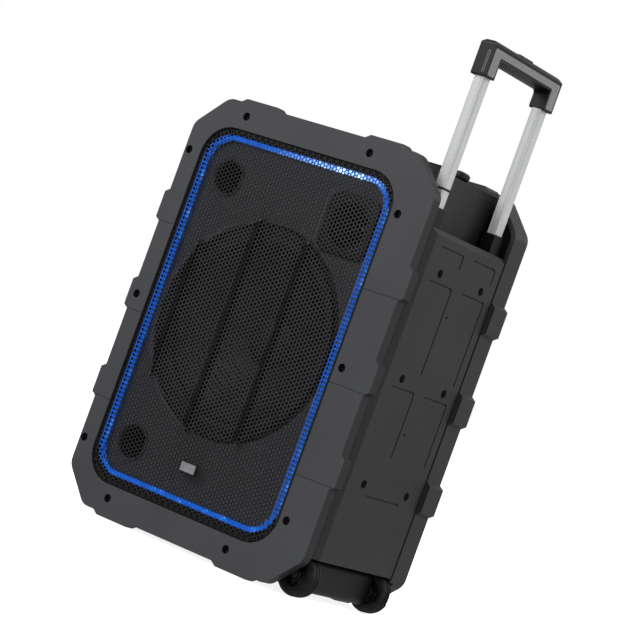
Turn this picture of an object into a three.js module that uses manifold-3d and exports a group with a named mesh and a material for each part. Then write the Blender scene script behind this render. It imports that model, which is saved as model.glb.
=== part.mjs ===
// Party speaker on wheels: a cabinet between two padded end frames, with a ten-inch woofer, a tweeter and
// two ports behind a grille, a telescopic trolley handle in a well on the right, and two wheels at the lower
// right corner. Millimetres. X points right, Y back, Z up. The origin is on the floor, under the middle.

import * as THREE from 'three';
import { mergeVertices } from 'three/addons/utils/BufferGeometryUtils.js';
import Module from 'manifold-3d';

const wasm = await Module();
wasm.setup();

// ---------------------------------------------------------------- driving dimensions

const GAP = 0.3;                    // air left between pieces that touch

// End frames and cabinet
const HALF_WIDTH = 168;             // end frame, without its side pads
const HALF_HEIGHT = 235;            // end frame, without its top and bottom pads
const HALF_DEPTH = 98;
const CORNER_CUT = 36.5;            // each corner is cut off by this much along both sides
const CORNER_ROUND = 7;
const SIDE_PAD = { height: 5.8, top: 29.5, base: 37.3, places: [-102, 0, 102] };
const END_PAD = { height: 4.2, top: 43.6, base: 57, places: [-86.5, 86.5] };
const CENTRE_HEIGHT = HALF_HEIGHT + END_PAD.height;
const BEZEL_DEPTH = 12.6;
const BEZEL_BACK = BEZEL_DEPTH - HALF_DEPTH;
const REAR_FRAME_DEPTH = 27;
const REAR_FRAME_FRONT = HALF_DEPTH - REAR_FRAME_DEPTH;
const REAR_PANEL = { front: HALF_DEPTH - 12, thickness: 4 };
const FRAME_WALL = 5.5;
const CABINET_INSET = 6;            // cabinet side behind the end frame's side
const CABINET_WALL = 3.5;
const WELL_WALL_X = 131;            // cabinet side that faces the handle channel
const WHEEL_NOTCH = { x: 117, top: -183 };

// Front opening, and what stands in it
const OPENING = { left: -145.7, right: 122, bottom: -203.9, top: 205.3, round: 36 };
const GRILLE_DEPTH = 3.2;
const GRILLE_THICKNESS = 1.2;
const BAFFLE_DEPTH = 12.9;
const BAFFLE_THICKNESS = 4.4;
const BAFFLE_BACK = BAFFLE_DEPTH + BAFFLE_THICKNESS - HALF_DEPTH;
const BAFFLE_MARGIN = 5;
const LIGHT_RING = {
  halfX: 125.2, halfZ: 193, centreZ: 2.3, round: 31, band: 6.3, depth: 8.9, thickness: 2.5,
};
const LED_STRIP = { band: 4, thickness: 0.9 };
const DRIVER_X = -13.7;             // woofer, light ring and ports are centred here
const SCREW_CENTRE_X = -15.4;
const FRONT_SCREW = { x: 86, top: 220.4, bottom: -218.4, sideX: 146.4, radius: 4.6, depth: 7 };
const FRONT_SCREW_SIDE_Z = [-166.7, 0, 168.2];
const SEAM_HEIGHTS = [-118.6, -17.7, 84.5];
const BADGE = { width: 24, height: 13.4, depth: 1.6, z: -155.3 };

// Drivers and ports
const WOOFER = { opening: 120.7, flange: 127, cone: 95.9 };
const GUARD_RIBS = { places: [-95, -25, 45], width: 3.2, reach: 123.5 };
const HORN = { x: 69.1, z: 142, side: 67, round: 12, mouth: 25, throat: 12.5, length: 38 };
const HORN_FLANGE = 3;
const HORN_SIDES = 20;
const PORT = { x: -106, z: 152.7, mouth: 17, wall: 2, flange: 21, length: 80 };

// Trolley handle
const TUBE = { x: 149.1, halfX: 6, halfY: 7, spread: 61, centreY: -3, bottom: 203, round: 2.2 };
const TUBE_CLEARANCE = 0.9;
const BAND = { bottom: 447.8, top: 450, inner: 0.2, outer: 0.65 };
const SLEEVE = { halfX: 9, halfY: 9.3, bottom: 60, top: 429 };
const GRIP = {
  legBottom: 571.8, under: 590.6, sideUnder: 594, sideTop: 607, top: 611,
  halfY: 71.4, leg: 18, width: 19.6, round: 5,
};
const INSET_DEPTH = 1.4;
const INSET_DROP = 0.8;              // the inset's top edge below the grip's side edge
const BUTTON = { length: 30, width: 9, height: 8, proud: 1.6 };

// Side cover and well
const COVER = { thickness: 3.5, face: 167.7, bottom: 45, top: 407.9, topBevel: 5.5, rearBevel: 2.4 };
const COVER_STEP = { x: 160, y: -77.6, faceY: -69.4 };   // sunk front edge and the slope up to the face
const COVER_SCREWS = {
  y: [-40.9, 43], z: [133.8, 249.9, 365.7], radius: 4.7, depth: 5.5, cup: 6.4, shaft: 2,
};
const WELL_FLOOR = { top: 398, thickness: 3 };

// Wheels
const WHEEL = { x: 148, z: 24, radius: 23.5, hub: 15, width: 18, axle: 4, frontY: -67, rearY: 69 };
const ARCH_GAP = 1.2;                // air between a tyre and the cover or rear frame around it
const HOUSING = { front: -57.2, back: 59.2, right: 154, bottom: 7, top: 44.5, round: 9 };

// Carry handle on top
const CARRY = { halfLength: 133, halfWidth: 9, y: -2, bottom: 468.6, top: 478.2 };
const CARRY_RECESS = { halfX: 68, halfY: 34, floor: 434 };

// Rear controls
const PANEL = { x: -18, z: 372, width: 184, height: 124, lap: 6 };

const MATERIALS = {
  slate: [0x4b4c50, 0.5, 0.0],
  darkPlastic: [0x38393b, 0.6, 0.0],
  rimPlastic: [0x3c3c3e, 0.55, 0.0],
  black: [0x141415, 0.5, 0.0],
  steelBlack: [0x1b1b1d, 0.45, 0.6],
  blueLight: [0x1f6fe0, 0.3, 0.0],
  circuit: [0x12402c, 0.6, 0.1],
  paperCone: [0x19191b, 0.8, 0.0],
  softRubber: [0x111112, 0.85, 0.0],
  silver: [0xd6d8da, 0.3, 0.9],
  steel: [0x9a9ca0, 0.35, 0.9],
  greyInset: [0x8c8c8e, 0.6, 0.0],
  ferrite: [0x2a2a2c, 0.7, 0.3],
  lens: [0x0a0d12, 0.15, 0.0],
};

// ---------------------------------------------------------------- solids

function toSolid(geometry) {
  const bare = geometry.clone();
  bare.deleteAttribute('normal');
  bare.deleteAttribute('uv');
  const merged = mergeVertices(bare, 1e-4);
  const mesh = new wasm.Mesh({
    numProp: 3,
    vertProperties: new Float32Array(merged.attributes.position.array),
    triVerts: new Uint32Array(merged.index.array),
  });
  return new wasm.Manifold(mesh);
}

function toGeometry(solid) {
  const mesh = solid.getMesh();
  const geometry = new THREE.BufferGeometry();
  geometry.setAttribute('position', new THREE.BufferAttribute(new Float32Array(mesh.vertProperties), 3));
  geometry.setIndex(new THREE.BufferAttribute(new Uint32Array(mesh.triVerts), 1));
  geometry.computeVertexNormals();
  return geometry;
}

function cut(geometry, tools) {
  let solid = toSolid(geometry);
  for (const tool of tools) {
    solid = solid.subtract(toSolid(tool));
  }
  return toGeometry(solid);
}

function join(geometry, others) {
  let solid = toSolid(geometry);
  for (const other of others) {
    solid = solid.add(toSolid(other));
  }
  return toGeometry(solid);
}

function box(x0, x1, y0, y1, z0, z1) {
  const geometry = new THREE.BoxGeometry(x1 - x0, y1 - y0, z1 - z0);
  return geometry.translate((x0 + x1) / 2, (y0 + y1) / 2, (z0 + z1) / 2);
}

// Cylinder with its axis along Y, from y0 to y1
function rodY(radius, y0, y1, segments = 24) {
  return new THREE.CylinderGeometry(radius, radius, y1 - y0, segments).translate(0, (y0 + y1) / 2, 0);
}

function rodX(radius, x0, x1, segments = 20) {
  const geometry = new THREE.CylinderGeometry(radius, radius, x1 - x0, segments);
  return geometry.rotateZ(-Math.PI / 2).translate((x0 + x1) / 2, 0, 0);
}

// Prism from an outline in X and Z, between y0 and y1
function prismY(shape, y0, y1, curveSegments = 5) {
  const geometry = new THREE.ExtrudeGeometry(shape, { depth: y1 - y0, bevelEnabled: false, curveSegments });
  return geometry.rotateX(Math.PI / 2).translate(0, y1, 0);
}

// Prism from an outline in Y and Z, between x0 and x1
function prismX(shape, x0, x1, curveSegments = 5) {
  const geometry = new THREE.ExtrudeGeometry(shape, { depth: x1 - x0, bevelEnabled: false, curveSegments });
  const turn = new THREE.Matrix4().makeBasis(
    new THREE.Vector3(0, 1, 0), new THREE.Vector3(0, 0, 1), new THREE.Vector3(1, 0, 0));
  return geometry.applyMatrix4(turn).translate(x0, 0, 0);
}

// Prism from an outline in X and Y, between z0 and z1
function prismZ(shape, z0, z1, curveSegments = 5) {
  const geometry = new THREE.ExtrudeGeometry(shape, { depth: z1 - z0, bevelEnabled: false, curveSegments });
  return geometry.translate(0, 0, z0);
}

// Closed profile of [radius, depth] points turned about the Y axis; depth grows towards the back
function turnedY(profile, segments = 40) {
  const first = profile[0];
  const points = profile.map(([radius, depth]) => new THREE.Vector2(radius, depth));
  if (first[0] > 0) {
    points.push(new THREE.Vector2(first[0], first[1]));
  }
  const area = points.reduce((sum, a, i) => {
    const b = points[(i + 1) % points.length];
    return sum + a.x * b.y - b.x * a.y;
  }, 0);
  if (area < 0) {
    points.reverse();
  }
  return new THREE.LatheGeometry(points, segments);
}

// ---------------------------------------------------------------- outlines

const ROUNDING_STEPS = 4;

// Corners are [x, y, rounding]; a rounded corner is a curve that touches both of its sides
function roundedOutline(corners) {
  const points = corners.flatMap(([x, y, round = 0], i) => {
    const corner = new THREE.Vector2(x, y);
    if (round === 0) {
      return [corner];
    }
    const [beforeX, beforeY] = corners[(i + corners.length - 1) % corners.length];
    const [afterX, afterY] = corners[(i + 1) % corners.length];
    const start = new THREE.Vector2(beforeX, beforeY).sub(corner).setLength(round).add(corner);
    const end = new THREE.Vector2(afterX, afterY).sub(corner).setLength(round).add(corner);
    return new THREE.QuadraticBezierCurve(start, corner, end).getPoints(ROUNDING_STEPS);
  });
  return new THREE.Shape(points);
}

function roundedRect(left, right, bottom, top, round) {
  const path = new THREE.Shape();
  path.moveTo(left + round, bottom);
  path.lineTo(right - round, bottom);
  path.absarc(right - round, bottom + round, round, -Math.PI / 2, 0);
  path.lineTo(right, top - round);
  path.absarc(right - round, top - round, round, 0, Math.PI / 2);
  path.lineTo(left + round, top);
  path.absarc(left + round, top - round, round, Math.PI / 2, Math.PI);
  path.lineTo(left, bottom + round);
  path.absarc(left + round, bottom + round, round, Math.PI, 1.5 * Math.PI);
  path.closePath();
  return path;
}

function centredRect(width, height, round, x = 0, z = 0) {
  return roundedRect(x - width / 2, x + width / 2, z - height / 2, z + height / 2, round);
}

function circle(x, z, radius) {
  const path = new THREE.Shape();
  path.absarc(x, z, radius, 0, 2 * Math.PI);
  return path;
}

// Oblong with cut corners, moved inwards from the end frame's side by the inset
function cutCornerOutline(inset) {
  const w = HALF_WIDTH - inset;
  const h = HALF_HEIGHT - inset;
  const c = CORNER_CUT - inset * (2 - Math.SQRT2);
  const r = CORNER_ROUND;
  return roundedOutline([
    [w, -h + c, r], [w, h - c, r], [w - c, h, r], [-w + c, h, r],
    [-w, h - c, r], [-w, -h + c, r], [-w + c, -h, r], [w - c, -h, r],
  ]);
}

// The end frames' outline: cut corners, three pads on each side, two on the top and two on the bottom
function paddedOutline() {
  const w = HALF_WIDTH;
  const h = HALF_HEIGHT;
  const c = CORNER_CUT;
  const r = CORNER_ROUND;
  const sidePad = (side, z) => [
    [side * w, z - side * SIDE_PAD.base / 2],
    [side * (w + SIDE_PAD.height), z - side * SIDE_PAD.top / 2],
    [side * (w + SIDE_PAD.height), z + side * SIDE_PAD.top / 2],
    [side * w, z + side * SIDE_PAD.base / 2],
  ];
  const endPad = (end, x) => [
    [x + end * END_PAD.base / 2, end * h],
    [x + end * END_PAD.top / 2, end * (h + END_PAD.height)],
    [x - end * END_PAD.top / 2, end * (h + END_PAD.height)],
    [x - end * END_PAD.base / 2, end * h],
  ];
  const up = SIDE_PAD.places;
  const across = END_PAD.places;
  return roundedOutline([
    [w, -h + c, r],
    ...up.flatMap((z) => sidePad(1, z)),
    [w, h - c, r], [w - c, h, r],
    ...[...across].reverse().flatMap((x) => endPad(1, x)),
    [-w + c, h, r], [-w, h - c, r],
    ...[...up].reverse().flatMap((z) => sidePad(-1, z)),
    [-w, -h + c, r], [-w + c, -h, r],
    ...across.flatMap((x) => endPad(-1, x)),
    [w - c, -h, r],
  ]);
}

// Cabinet section: cut corners on the left, a straight side to the handle channel, a notch for the wheels
function cabinetOutline(inset) {
  const left = -(HALF_WIDTH - CABINET_INSET - inset);
  const h = HALF_HEIGHT - CABINET_INSET - inset;
  const c = CORNER_CUT - (CABINET_INSET + inset) * (2 - Math.SQRT2);
  const right = WELL_WALL_X - inset;
  const notchX = WHEEL_NOTCH.x - inset;
  const notchTop = WHEEL_NOTCH.top + inset;
  const r = CORNER_ROUND;
  const corner = 8;
  return roundedOutline([
    [notchX, -h], [notchX, notchTop], [right, notchTop], [right, h - corner], [right - corner, h],
    [left + c, h, r], [left, h - c, r], [left, -h + c, r], [left + c, -h, r],
  ]);
}

// ---------------------------------------------------------------- scene helpers

const speaker = new THREE.Group();
speaker.name = 'party_speaker';

function piece(name, finish, geometry, parent) {
  const [color, roughness, metalness] = MATERIALS[finish];
  const mesh = new THREE.Mesh(geometry, new THREE.MeshStandardMaterial({ color, roughness, metalness }));
  mesh.name = name;
  parent.add(mesh);
  return mesh;
}

function group(x, y, z, parent = speaker) {
  const holder = new THREE.Group();
  holder.position.set(x, y, z);
  parent.add(holder);
  return holder;
}

// ---------------------------------------------------------------- front

// The front opening's outline, moved outwards by the margin
function openingOutline(margin) {
  const { left, right, bottom, top, round } = OPENING;
  return roundedRect(left - margin, right + margin, bottom - margin, top + margin, round + margin);
}

function frontBezel() {
  const outline = paddedOutline();
  outline.holes.push(openingOutline(0));
  const tools = [];
  for (const [x, z] of frontScrewPlaces()) {
    tools.push(rodY(FRONT_SCREW.radius, -1, FRONT_SCREW.depth, 16).translate(x, 0, z));
  }
  const groove = { half: 0.5, depth: 0.9 };
  const reach = HALF_WIDTH + 2 * SIDE_PAD.height;
  for (const z of SEAM_HEIGHTS) {
    tools.push(box(-reach, OPENING.left + 1, -1, groove.depth, z - groove.half, z + groove.half));
    tools.push(box(OPENING.right - 1, reach, -1, groove.depth, z - groove.half, z + groove.half));
  }
  return cut(prismY(outline, 0, BEZEL_DEPTH, 4), tools);
}

function frontScrewPlaces() {
  const places = [];
  for (const side of [-1, 1]) {
    places.push([SCREW_CENTRE_X + side * FRONT_SCREW.x, FRONT_SCREW.top]);
    places.push([SCREW_CENTRE_X + side * FRONT_SCREW.x, FRONT_SCREW.bottom]);
    for (const z of FRONT_SCREW_SIDE_Z) {
      places.push([SCREW_CENTRE_X + side * FRONT_SCREW.sideX, z]);
    }
  }
  return places;
}

function grillePlate() {
  const slack = 0.4;
  return prismY(openingOutline(-slack), 0, GRILLE_THICKNESS, 6);
}

function badgePlate() {
  return prismY(centredRect(BADGE.width, BADGE.height, 2), 0, BADGE.depth, 3);
}

// Flat band that follows the light ring's middle line
function ringBand(band, thickness) {
  const { halfX, halfZ, round } = LIGHT_RING;
  const outline = centredRect(2 * halfX + band, 2 * halfZ + band, round + band / 2);
  outline.holes.push(centredRect(2 * halfX - band, 2 * halfZ - band, round - band / 2));
  return prismY(outline, 0, thickness, 5);
}

function frontBaffle() {
  const plate = prismY(openingOutline(BAFFLE_MARGIN), 0, BAFFLE_THICKNESS, 6);
  const portHole = PORT.mouth + PORT.wall + GAP;
  const hornHole = HORN.side - 8;
  const through = BAFFLE_THICKNESS + 1;
  const holes = [
    rodY(WOOFER.opening, -1, through, 48).translate(DRIVER_X, 0, 0),
    prismY(centredRect(hornHole, hornHole, 8, HORN.x, HORN.z), -1, through, 3),
    rodY(portHole, -1, through).translate(PORT.x, 0, PORT.z),
    rodY(portHole, -1, through).translate(PORT.x, 0, -PORT.z),
  ];
  const ribFront = -(BAFFLE_DEPTH - GRILLE_DEPTH - GRILLE_THICKNESS) + GAP;
  const ribBack = 0.4;
  const ribs = GUARD_RIBS.places.map((x) => {
    const reach = Math.sqrt(GUARD_RIBS.reach ** 2 - x ** 2);
    const left = DRIVER_X + x - GUARD_RIBS.width / 2;
    return box(left, left + GUARD_RIBS.width, ribFront, ribBack, -reach, reach);
  });
  return join(cut(plate, holes), ribs);
}

function buildFront() {
  const front = group(0, -HALF_DEPTH, CENTRE_HEIGHT);
  piece('front_bezel', 'slate', frontBezel(), front);
  piece('grille', 'steelBlack', grillePlate(), front).position.y = GRILLE_DEPTH;
  piece('badge_plate', 'silver', badgePlate(), front)
    .position.set(DRIVER_X, GRILLE_DEPTH - GAP - BADGE.depth, BADGE.z);
  const { depth, thickness, centreZ } = LIGHT_RING;
  piece('led_light_ring', 'blueLight', ringBand(LIGHT_RING.band, thickness), front)
    .position.set(DRIVER_X, depth, centreZ);
  piece('led_strip', 'circuit', ringBand(LED_STRIP.band, LED_STRIP.thickness), front)
    .position.set(DRIVER_X, depth + thickness + GAP, centreZ);
  piece('front_baffle', 'darkPlastic', frontBaffle(), front).position.y = BAFFLE_DEPTH;
  for (const [name, z] of [['port_tube_upper', PORT.z], ['port_tube_lower', -PORT.z]]) {
    piece(name, 'black', portTube(), front).position.set(PORT.x, BAFFLE_DEPTH - GAP, z);
  }
  const horn = group(HORN.x, BAFFLE_DEPTH - GAP, HORN.z, front);
  piece('tweeter_horn', 'black', tweeterHorn(), horn);
  piece('tweeter_driver', 'ferrite', tweeterDriver(), horn).position.y = HORN.length - HORN_FLANGE + GAP;
}

// ---------------------------------------------------------------- ports and tweeter

// Depth 0 is the back of the flange, which rests on the baffle
function portTube() {
  const { mouth, wall, flange, length } = PORT;
  const lip = 2.2;
  return turnedY([
    [mouth, -0.6], [mouth + 1.2, -lip], [flange, -lip], [flange, 0],
    [mouth + wall, 0], [mouth + wall, length], [mouth, length],
  ], 20);
}

function tweeterHorn() {
  const { side, round, mouth, throat, length } = HORN;
  const wall = 2;
  const flange = prismY(centredRect(side, side, round), -HORN_FLANGE, 0, 4);
  const mouthHole = rodY(mouth, -HORN_FLANGE - 1, 1, HORN_SIDES);
  const end = length - HORN_FLANGE;
  const curve = [];
  const steps = 3;
  for (let i = 0; i <= steps; i += 1) {
    const t = i / steps;
    curve.push([throat + (mouth - throat) * (1 - t) ** 2, -HORN_FLANGE + t * length]);
  }
  const outer = curve.map(([radius, depth]) => [radius + wall, depth]).reverse();
  outer[outer.length - 1][1] = -HORN_FLANGE;
  const shell = turnedY([...curve, ...outer], HORN_SIDES);
  const body = join(cut(flange, [mouthHole]), [shell]);
  const rim = throat + 6;
  const throatRing = turnedY([[throat, end - 2], [rim, end - 2], [rim, end], [throat, end]], HORN_SIDES);
  return join(body, [throatRing]);
}

function tweeterDriver() {
  const plate = 30;
  const magnet = 26;
  return turnedY([
    [0, -4], [6, -2.8], [9, 0], [plate, 0], [plate, 6], [magnet, 6], [magnet, 26], [0, 26],
  ], 20);
}

// ---------------------------------------------------------------- woofer

const WOOFER_GASKET = 3.4;

// Depths are from the front of the basket's flange
function wooferBasket() {
  const flange = WOOFER.flange;
  const backFace = 74;
  const shell = turnedY([
    [112.5, 0], [flange, 0], [flange, 3], [116, 3], [56, 66], [50, backFace], [24, backFace],
    [24, backFace - 4], [47, backFace - 4], [53.5, 64], [112.5, 2.4],
  ], 24);
  const windows = [];
  const count = 6;
  for (let i = 0; i < count; i += 1) {
    const window = prismY(roundedOutline([[66, -13, 4], [103, -34, 6], [103, 34, 6], [66, 13, 4]]), 5, 60, 2);
    windows.push(window.rotateY((i + 0.5) * 2 * Math.PI / count));
  }
  return cut(shell, windows);
}

function wooferMagnet() {
  const front = 74.3;
  return turnedY([
    [0, 60], [17.5, 60], [17.5, 92], [20.8, 92], [20.8, front], [56, front], [56, front + 5], [60, front + 6],
    [60, front + 20], [50, front + 24], [0, front + 24],
  ], 20);
}

function wooferSurround() {
  const outerLip = 119;
  const inner = WOOFER.cone + 0.4;
  const roll = { centre: 104, radius: 7.2, wall: 1.4 };
  const face = -GAP;
  const steps = 4;
  const front = [];
  const back = [];
  for (let i = 0; i <= steps; i += 1) {
    const angle = Math.PI * (1 - i / steps);
    const c = Math.cos(angle);
    const s = Math.sin(angle);
    front.push([roll.centre + roll.radius * c, face - roll.wall - roll.radius * s * 0.72]);
    back.push([roll.centre + (roll.radius - roll.wall) * c, face - (roll.radius - roll.wall) * s * 0.72]);
  }
  return turnedY([
    [inner, face - roll.wall], ...front, [outerLip, face - roll.wall], [outerLip, face], ...back.reverse(),
    [inner, face],
  ], 32);
}

function wooferCone() {
  const rim = WOOFER.cone;
  return turnedY([[rim, -1.6], [rim, 0], [60, 25.5], [20.6, 47.5], [20.6, 45.8], [60, 23.6]], 32);
}

function wooferDustCap() {
  const front = [[0, 30], [14, 32.4], [23, 36.6], [28, 40.4]];
  const back = [[27, 41.2], [22, 38], [13.5, 33.8], [0, 31.4]];
  return turnedY([...front, ...back], 20);
}

function wooferVoiceCoil() {
  return turnedY([[18.6, 45], [20.2, 45], [20.2, 84], [18.6, 84]], 24);
}

function wooferSpider() {
  const inner = 20.9;
  const outer = 52;
  const depth = 57;
  const waves = 3;
  const steps = waves * 2;
  const face = [];
  for (let i = 0; i <= steps; i += 1) {
    const t = i / steps;
    face.push([inner + (outer - inner) * t, depth + 1.2 * Math.cos(2 * Math.PI * waves * t)]);
  }
  const back = face.map(([radius, d]) => [radius, d + 0.9]).reverse();
  return turnedY([...face, ...back], 16);
}

function buildWoofer() {
  const gasketFront = BAFFLE_BACK + GAP;
  const woofer = group(DRIVER_X, gasketFront + WOOFER_GASKET + GAP, CENTRE_HEIGHT);
  const gasket = turnedY([[WOOFER.opening, 0], [WOOFER.flange, 0],
    [WOOFER.flange, WOOFER_GASKET], [WOOFER.opening, WOOFER_GASKET]], 36);
  piece('woofer_gasket', 'softRubber', gasket, woofer).position.y = -GAP - WOOFER_GASKET;
  piece('woofer_basket', 'steelBlack', wooferBasket(), woofer);
  piece('woofer_magnet', 'ferrite', wooferMagnet(), woofer);
  piece('woofer_surround', 'softRubber', wooferSurround(), woofer);
  piece('woofer_cone', 'paperCone', wooferCone(), woofer);
  piece('woofer_dust_cap', 'paperCone', wooferDustCap(), woofer);
  piece('woofer_voice_coil', 'steel', wooferVoiceCoil(), woofer);
  piece('woofer_spider', 'paperCone', wooferSpider(), woofer);
}

// ---------------------------------------------------------------- cabinet

// Shell with a recess for the carry handle in its top and a seat for the baffle's corner beside the wheels
function cabinetShell() {
  const outline = cabinetOutline(0);
  outline.holes.push(cabinetOutline(CABINET_WALL));
  const shell = prismY(outline, BEZEL_BACK + GAP, REAR_PANEL.front - GAP);
  const top = HALF_HEIGHT - CABINET_INSET;
  const low = CARRY_RECESS.floor - CENTRE_HEIGHT;
  const wall = 3;
  const well = (margin, bottom, height) => {
    const reachX = CARRY_RECESS.halfX + margin;
    const reachY = CARRY_RECESS.halfY + margin;
    return box(-reachX, reachX, CARRY.y - reachY, CARRY.y + reachY, bottom, height);
  };
  const seat = prismY(openingOutline(BAFFLE_MARGIN + GAP), -HALF_DEPTH, BAFFLE_BACK + GAP);
  return cut(join(shell, [well(wall, low - wall, top - 1)]), [well(0, low, top + 5), seat]);
}

function rearFrame() {
  const outline = paddedOutline();
  outline.holes.push(cutCornerOutline(FRAME_WALL));
  const ring = prismY(outline, REAR_FRAME_FRONT, HALF_DEPTH, 4);
  return cut(ring, [wheelArch(WHEEL.rearY).translate(0, 0, -CENTRE_HEIGHT)]);
}

// Round clearance for one wheel
function wheelArch(y) {
  const reach = WHEEL.width / 2 + ARCH_GAP;
  return rodY(WHEEL.radius + ARCH_GAP, y - reach, y + reach, 32).translate(WHEEL.x, 0, WHEEL.z);
}

function rearPanel() {
  const outline = cutCornerOutline(FRAME_WALL + GAP);
  const { x, z, width, height } = PANEL;
  outline.holes.push(centredRect(width, height, 12, x, z - CENTRE_HEIGHT));
  return prismY(outline, REAR_PANEL.front, REAR_PANEL.front + REAR_PANEL.thickness, 4);
}

// The side cover's section in X and Y, from its sunk front edge to its back, moved inwards by the inset
function coverSection(inset, front, back) {
  const { x, y, faceY } = COVER_STEP;
  const turn = 0.4 * inset;           // a sloped wall's corners move this much along Y
  const face = COVER.face - inset;
  return [[x - inset, front], [x - inset, y + turn], [face, faceY + turn], [face, back]];
}

// Tray that closes the handle channel: an outer wall with grooves and a flange at the front and at the back
function sideCover() {
  const { thickness, face, bottom, top } = COVER;
  const front = BEZEL_BACK + 0.4;
  const back = REAR_FRAME_FRONT - 0.4;
  const flange = 3;
  const flangeTop = WELL_FLOOR.top - WELL_FLOOR.thickness - GAP;
  const root = WELL_WALL_X + GAP;
  const outer = coverSection(0, front, back);
  const wall = [...outer, ...coverSection(thickness, front, back).reverse()];
  const tray = [
    [root, front], ...outer, [root, back], [root, back - flange],
    ...coverSection(thickness, front + flange, back - flange).reverse(), [root, front + flange],
  ];
  const rimDepth = 7;
  const innerFace = face - thickness;
  const parts = [
    prismZ(roundedOutline(tray), bottom, flangeTop),
    prismZ(roundedOutline([[root, front], ...outer, [root, back]]), bottom, bottom + flange),
    box(face - rimDepth, face, COVER_STEP.faceY, back, WELL_FLOOR.top + 1, top),
  ];
  for (const [y, z] of coverScrewPlaces()) {
    parts.push(rodX(COVER_SCREWS.cup, face - COVER_SCREWS.depth - 1.5, innerFace + 1, 16).translate(0, y, z));
  }
  const tools = [...coverGrooves(), ...coverBevels(back), wheelArch(WHEEL.frontY), wheelArch(WHEEL.rearY)];
  for (const [y, z] of coverScrewPlaces()) {
    tools.push(rodX(COVER_SCREWS.radius, face - COVER_SCREWS.depth, face + 1, 20).translate(0, y, z));
    tools.push(rodX(COVER_SCREWS.shaft + GAP, innerFace - 10, face, 8).translate(0, y, z));
  }
  const drain = { radius: 1.6, depth: 1.5, y: -1.5, z: [195.2, 326.3] };
  for (const z of drain.z) {
    tools.push(rodX(drain.radius, face - drain.depth, face + 1, 8).translate(0, drain.y, z));
  }
  return cut(join(prismZ(roundedOutline(wall), bottom, top), parts), tools);
}

function coverScrewPlaces() {
  return COVER_SCREWS.y.flatMap((y) => COVER_SCREWS.z.map((z) => [y, z]));
}

// L-shaped grooves that mark six fields, and one short line near the bottom
function coverGrooves() {
  const width = 1.9;
  const depth = 1.7;
  const round = 4;
  const columns = [[-55.5, -9.4], [10.1, 57]];
  const rows = [[376.3, 393.5], [260.9, 356.3], [168.9, 240.6]];
  const { face } = COVER;
  const grooves = columns.flatMap(([y0, y1]) => rows.map(([z0, z1]) => roundedOutline([
    [y0, z1], [y1, z1, round], [y1, z0],
    [y1 - width, z0], [y1 - width, z1 - width, round - width], [y0, z1 - width],
  ])));
  const line = { y0: -29, y1: 33.8, z: 122.6 };
  return [
    ...grooves.map((outline) => prismX(outline, face - depth, face + 1)),
    box(face - depth, face + 1, line.y0, line.y1, line.z - width / 2, line.z + width / 2),
  ];
}

function coverBevels(back) {
  const { face, top, bottom, topBevel, rearBevel } = COVER;
  const over = 2;
  const wedge = (bevel, edge) => new THREE.Shape([
    new THREE.Vector2(face + over, edge - bevel - over),
    new THREE.Vector2(face + over, edge + over),
    new THREE.Vector2(face - bevel - over, edge + over),
  ]);
  return [
    prismY(wedge(topBevel, top), -HALF_DEPTH, HALF_DEPTH),
    prismZ(wedge(rearBevel, back), bottom - 1, top + 1),
  ];
}

function coverScrew() {
  const { radius, depth, shaft } = COVER_SCREWS;
  const head = rodX(radius - GAP, GAP - depth, 2 - depth, 16);
  const stem = rodX(shaft, -depth - 4.5, 1 - depth, 8);
  return join(head, [stem]);
}

// Liner of the open well: a wall that bows away from the handle, and a floor that the sleeves pass through
function handleWell() {
  const front = BEZEL_BACK + 0.6;
  const back = REAR_FRAME_FRONT - 0.6;
  const root = WELL_WALL_X + GAP;
  const ends = WELL_WALL_X + 8;
  const middle = WELL_WALL_X + 3;
  const outline = new THREE.Shape();
  outline.moveTo(root, front);
  outline.lineTo(ends, front);
  outline.quadraticCurveTo(2 * middle - ends, (front + back) / 2, ends, back);
  outline.lineTo(root, back);
  outline.closePath();
  const top = CENTRE_HEIGHT + HALF_HEIGHT - CABINET_INSET;
  const low = WELL_FLOOR.top - WELL_FLOOR.thickness;
  const wall = prismZ(outline, low, top, 16);
  const inside = coverSection(COVER.thickness + GAP, front, back);
  const floor = prismZ(roundedOutline([[root, front], ...inside, [root, back]]), low, WELL_FLOOR.top);
  const holes = [-1, 1].map((side) => {
    const y = TUBE.centreY + side * TUBE.spread;
    const halfX = SLEEVE.halfX + GAP;
    const halfY = SLEEVE.halfY + GAP;
    return box(TUBE.x - halfX, TUBE.x + halfX, y - halfY, y + halfY, low - 1, top + 1);
  });
  return cut(join(wall, [floor]), holes);
}

function carryHandle() {
  const { halfLength, halfWidth, y, bottom, top } = CARRY;
  const outline = roundedRect(-halfLength, halfLength, y - halfWidth, y + halfWidth, halfWidth - 0.5);
  return prismZ(outline, bottom, top, 6);
}

function buildCabinet() {
  const cabinet = group(0, 0, CENTRE_HEIGHT);
  piece('cabinet_shell', 'darkPlastic', cabinetShell(), cabinet);
  piece('rear_frame', 'rimPlastic', rearFrame(), cabinet);
  piece('rear_panel', 'darkPlastic', rearPanel(), cabinet);
  piece('side_cover', 'darkPlastic', sideCover(), speaker);
  coverScrewPlaces().forEach(([y, z], i) => {
    piece(`side_cover_screw_${i + 1}`, 'black', coverScrew(), speaker).position.set(COVER.face, y, z);
  });
  piece('handle_well', 'darkPlastic', handleWell(), speaker);
  piece('carry_handle', 'softRubber', carryHandle(), speaker);
}

// ---------------------------------------------------------------- trolley

function tubeSection(grow) {
  return centredRect(2 * (TUBE.halfX + grow), 2 * (TUBE.halfY + grow), TUBE.round + grow);
}

function trolleySleeve() {
  const outline = centredRect(2 * SLEEVE.halfX, 2 * SLEEVE.halfY, 2.5);
  outline.holes.push(tubeSection(TUBE_CLEARANCE));
  return prismZ(outline, SLEEVE.bottom, SLEEVE.top, 2);
}

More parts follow.
